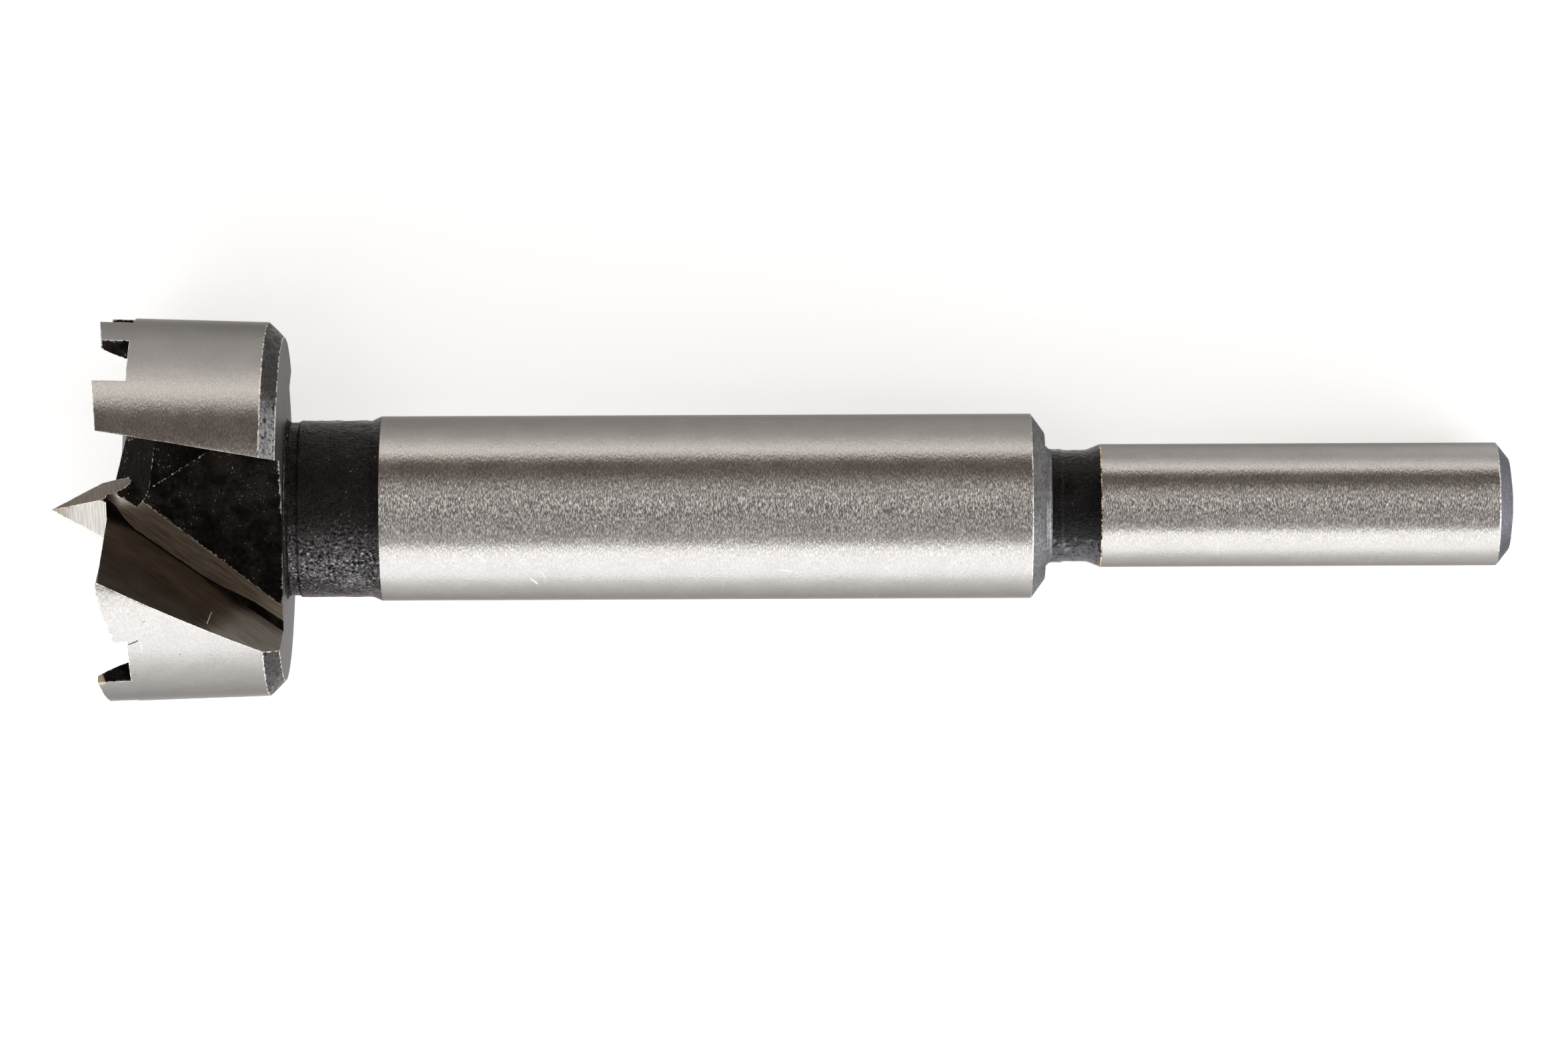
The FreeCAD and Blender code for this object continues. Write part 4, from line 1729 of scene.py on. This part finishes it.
def all_finishes() -> dict[Finish, bpy.types.Material]:
    """Makes the material of every finish, each from its surface and the marks over it.

    Returns:
        The materials.
    """
    thin_edge, rim_edge, bevel_edge = WornEdge(width=0.03), WornEdge(), WornEdge(width=0.07)
    gold_edge = WornEdge(colour=(0.85, 0.7, 0.5))
    ridge_glint_edge = WornEdge(colour=(0.4, 0.38, 0.36), width=0.1)
    # A dull line of bare steel on the forged faces' ridges: partly wear, partly a painted highlight where the
    # ridges catch the light.
    throat_edge = WornEdge(colour=(0.85, 0.66, 0.42), width=0.035)
    burr = Scratch((3.58, -10.7, 5.55), (3.74, -11.15, 5.6), width=0.36, colour=(0.5, 0.43, 0.34))
    rim_nick = Scratch((5.8, -8.62, 8.92), (6.3, -8.4, 9.13), width=0.06, colour=(0.03, 0.03, 0.03))
    body_scratch = Scratch((31.36, -4.6, 3.85), (31.7, -4.9, 3.46), width=0.07)
    small_scratch = Scratch((26.45, -3.67, 4.75), (26.96, -3.89, 4.57), width=0.03)
    rake_scratch = Scratch((4.25, 10.6, 0.0), (6.3, 11.3, 0.0), width=0.028)

    # The body's and rim's flecks and side contrast are painted sparkle along their near and far sides.
    turned = GroundSteel(painted_side_contrast=0.55, flecks=1.9)
    rim = replace(turned, painted_side_contrast=0.38, flecks=1.4, line_depth=0.015)
    land = GroundSteel(colour=(0.31, 0.3, 0.29), roughness=0.3, line_depth=0.006, contrast=0.02)
    back = GroundSteel(colour=(0.2, 0.193, 0.19), roughness=0.4, contrast=0.12)
    shoulder = GroundSteel(colour=(0.18, 0.182, 0.19), roughness=0.45, contrast=0.3, patch_contrast=0.15)
    shank_end = GroundSteel(colour=(0.14, 0.144, 0.168), roughness=0.34, contrast=0.15)
    # The point's two finishes are lit and shaded copies of one ground steel: painted light on the pair whose
    # near face looks towards the brightest light, painted shade on the other.
    point = GroundSteel(colour=(0.47, 0.45, 0.425), roughness=0.3, line_width=0.07, line_length=1.6,
                        line_depth=0.004, contrast=0.17)
    flank = GroundSteel(colour=(0.215, 0.193, 0.17), roughness=0.3, line_width=0.08, line_length=1.5,
                        line_depth=0.006, contrast=0.18)
    coarse = GroundSteel(roughness=0.38, line_width=0.1, line_length=2.4, line_depth=0.012, contrast=0.25)
    rake = replace(coarse, colour=(0.26, 0.212, 0.17))
    rake_end = replace(coarse, colour=(0.36, 0.332, 0.305), metal=0.75, roughness=0.5)

    black = BlackSkin()
    gullet = replace(black, colour=(0.006, 0.005, 0.0045), top_colour=(0.011, 0.0093, 0.0082),
                     lit_side_colour=(0.009, 0.0075, 0.0068), specular=0.006, roughness=0.4, glints=0.7,
                     glint_colour=(0.42, 0.4, 0.38))
    # The neck and throat carry painted light: lighter, partly metal high spots and bright peaks on the side
    # that faces the brightest light.
    neck = replace(black, skin_size=0.2, skin_depth=0.12, specular=0.2, roughness=0.2, glints=0.72,
                   glint_colour=(0.3, 0.29, 0.28), top_colour=(0.008, 0.0068, 0.0065),
                   lit_side_colour=(0.07, 0.068, 0.0705), lit_peak_colour=(0.26, 0.254, 0.256), lit_side_full=-3.2,
                   lit_side_metal=0.75, tint=WARM_TINT)
    throat = replace(black, skin_size=0.3, skin_depth=0.06, specular=0.2, roughness=0.16, glints=0.76,
                     lit_side_colour=(0.08, 0.078, 0.084), lit_peak_colour=(0.2, 0.196, 0.2), lit_side_from=-0.6,
                     lit_side_metal=0.5)
    groove = replace(coarse, colour=(0.46, 0.41, 0.345), metal=0.9, specular=gullet.specular)
    bevel = replace(coarse, colour=(0.07, 0.068, 0.068), line_length=0.3, specular=black.specular)
    rubbed_bevel = RubbedBevel(replace(bevel, colour=(0.255, 0.257, 0.268), roughness=0.3), black)

    surfaces = {
        Finish.RIM: (rim, rim_edge, burr, rim_nick),
        Finish.LAND: (land, thin_edge),
        Finish.RAKE: (rake, LighterRakeEnd(rake_end), rake_scratch, gold_edge),
        Finish.GROOVE: (groove, gold_edge, GrooveBottom(gullet)),
        Finish.POINT: (point, StainedTip(), gold_edge),
        Finish.POINT_FLANK: (flank, gold_edge),
        Finish.FORGED: (gullet, ridge_glint_edge, burr),
        Finish.BACK_BEVEL: (bevel, rubbed_bevel, bevel_edge),
        Finish.BACK: (back, rim_edge),
        Finish.NECK: (neck,),
        Finish.BODY: (turned, thin_edge, body_scratch, small_scratch),
        Finish.SHOULDER: (shoulder, thin_edge),
        Finish.THROAT: (throat, throat_edge),
        Finish.SHANK_END: (shank_end, thin_edge),
        Finish.HIDDEN: (GroundSteel(),),
    }
    return {finish: made_finish(finish, surface, marks) for finish, (surface, *marks) in surfaces.items()}


@dataclass
class Studio:
    """The floor, the light and the camera."""

    placement: Placement
    picture_width: float = 101.996
    distance: float = 500.0
    aim: tuple[float, float, float] = (47.67, -1.05, 0.0)
    tilt: float = 0.24
    sensor: float = 36.0
    clip_start: float = 0.01
    floor_size: float = 4.0
    floor_colour: Colour = (0.8, 0.8, 0.8)
    floor_roughness: float = 0.22
    floor_glow: float = 0.58
    reflected_glow: float = 0.34
    close_from: float = 0.006
    close_to: float = 0.02
    close_painted_light: float = 1.6
    behind_from: float = 0.006
    behind_to: float = 0.024
    behind_painted_shade: float = 0.2
    bands: tuple[tuple[float, Colour], ...] = (
        (-180.0, (0.8, 0.8, 0.8)),
        (-102.0, (2.37, 2.39, 2.41)),
        (-64.0, (2.53, 2.55, 2.58)),
        (-51.5, (2.42, 2.4, 2.37)),
        (-47.5, (0.88, 0.85, 0.82)),
        (-30.0, (0.72, 0.68, 0.65)),
        (-8.0, (0.72, 0.69, 0.665)),
        (14.0, (0.92, 0.88, 0.84)),
        (30.0, (0.66, 0.62, 0.59)),
        (40.0, (0.27, 0.23, 0.2)),
        (64.0, (0.21, 0.175, 0.15)),
        (69.5, (1.6, 1.52, 1.43)),
        (84.0, (1.82, 1.72, 1.62)),
        (96.0, (0.6, 0.55, 0.5)),
        (180.0, (0.75, 0.72, 0.7)),
    )
    end_from: float = 0.45
    end_to: float = 0.9
    tip_end_level: float = 0.45
    shank_end_level: float = 3.0

    def floor(self) -> None:
        """A large plain pale floor under the bit, which shows white to the camera and pale in reflections.

        What the bit reflects of it glows lighter close to the axis, as painted light, and dimmer behind the
        bit, as painted shade.
        """
        half = self.floor_size / 2
        mesh = bpy.data.meshes.new("floor")
        corners = [(-half, -half, 0), (half, -half, 0), (half, half, 0), (-half, half, 0)]
        mesh.from_pydata(corners, [], [(0, 1, 2, 3)])
        obj = bpy.data.objects.new("floor", mesh)
        bpy.context.scene.collection.objects.link(obj)
        material = bpy.data.materials.new("pale_floor")
        material.use_nodes = True
        g = Graph(material.node_tree)
        shader = material.node_tree.nodes["Principled BSDF"]
        rays = g.add("ShaderNodeLightPath", {}).outputs
        _, across_axis, _ = g.parts(g.add("ShaderNodeTexCoord", {}).outputs["Object"])
        away = g.math("ABSOLUTE", across_axis)
        # Painted light close to the axis and painted shade behind the bit, in the glow that reflections see.
        close = g.step(away, self.close_from, self.close_to, self.close_painted_light, 1.0)
        behind = g.step(across_axis, self.behind_from, self.behind_to, self.reflected_glow,
                        self.reflected_glow * self.behind_painted_shade)
        straight = g.math("MULTIPLY", rays["Is Camera Ray"], self.floor_glow)
        glow = g.math("MULTIPLY_ADD", rays["Is Glossy Ray"], g.math("MULTIPLY", close, behind), straight)
        g.join(shader.inputs["Base Color"], self.floor_colour)
        g.join(shader.inputs["Emission Color"], self.floor_colour)
        g.join(shader.inputs["Emission Strength"], glow)
        shader.inputs["Roughness"].default_value = self.floor_roughness
        mesh.materials.append(material)

    def light(self) -> None:
        """A studio of soft bands round the bit's axis, which darken towards both ends of the axis.

        The band that a direction d sees is at the angle atan2(d . up, d . near) round the axis.
        """
        world = bpy.data.worlds.new("studio")
        bpy.context.scene.world = world
        world.use_nodes = True
        world.node_tree.nodes.clear()
        g = Graph(world.node_tree)
        ray = g.add("ShaderNodeTexCoord", {}).outputs["Generated"]
        along, up, near = (g.dot(ray, tuple(self.placement.direction(local))) for local in (AXIS, UP, NEAR))
        share = g.math("MULTIPLY_ADD", g.math("ARCTAN2", up, near), 1 / (2 * math.pi), 0.5)
        ramp = g.add("ShaderNodeValToRGB", {"Fac": share})
        stops = ramp.color_ramp.elements
        stops.remove(stops[-1])
        strongest = max(max(colour) for _, colour in self.bands)
        for i, (angle, colour) in enumerate(self.bands):
            stop = stops[0] if i == 0 else stops.new(angle / 360 + 0.5)
            stop.position = angle / 360 + 0.5
            stop.color = (*(level / strongest for level in colour), 1.0)
        to_shank = g.step(along, self.end_from, self.end_to, 1.0, self.shank_end_level)
        to_tip = g.step(along, -self.end_from, -self.end_to, 1.0, self.tip_end_level)
        level = g.math("MULTIPLY", g.math("MULTIPLY", to_shank, to_tip), strongest)
        background = g.add("ShaderNodeBackground", {"Color": ramp.outputs["Color"], "Strength": level})
        g.add("ShaderNodeOutputWorld", {"Surface": background.outputs[0]})

    def camera(self) -> None:
        """The camera, which looks at the bit's near side from above the floor."""
        tilt = math.radians(self.tilt)
        right = AXIS * math.cos(tilt) - UP * math.sin(tilt)
        up = AXIS * math.sin(tilt) + UP * math.cos(tilt)
        turn = np.stack([self.placement.direction(v) for v in (right, up, NEAR)], axis=1)
        place = self.placement.to_frame(np.array(self.aim) + NEAR * self.distance)
        camera = bpy.data.cameras.new("camera")
        camera.sensor_width = self.sensor
        camera.lens = self.sensor * self.distance / self.picture_width
        camera.clip_start = self.clip_start
        obj = bpy.data.objects.new("camera", camera)
        obj.matrix_world = Matrix.Translation(place) @ Matrix(turn.tolist()).to_4x4()
        bpy.context.scene.collection.objects.link(obj)
        bpy.context.scene.camera = obj

    def build(self) -> None:
        """Sets up the floor, the light and the camera."""
        self.floor()
        self.light()
        self.camera()


def main() -> None:
    logging.basicConfig(level=logging.INFO, format="%(message)s")
    bpy.context.scene.view_settings.view_transform = "Standard"
    shaft = ShaftSizes()
    shank_middle = (shaft.shank_from + shaft.shank_to) / 2
    placement = Placement.from_record(frame["record"], shank_middle, roll=-7.6845)
    materials = all_finishes()
    pieces: list[Piece] = [
        CuttingHead("cutting_head", placement, materials),
        NeckAndBody("neck_and_body", placement, materials),
        Shank("shank", placement, materials),
    ]
    for piece in pieces:
        piece.make()
    Studio(placement).build()
    log.info("sizes written")


if __name__ == "__main__":
    main()
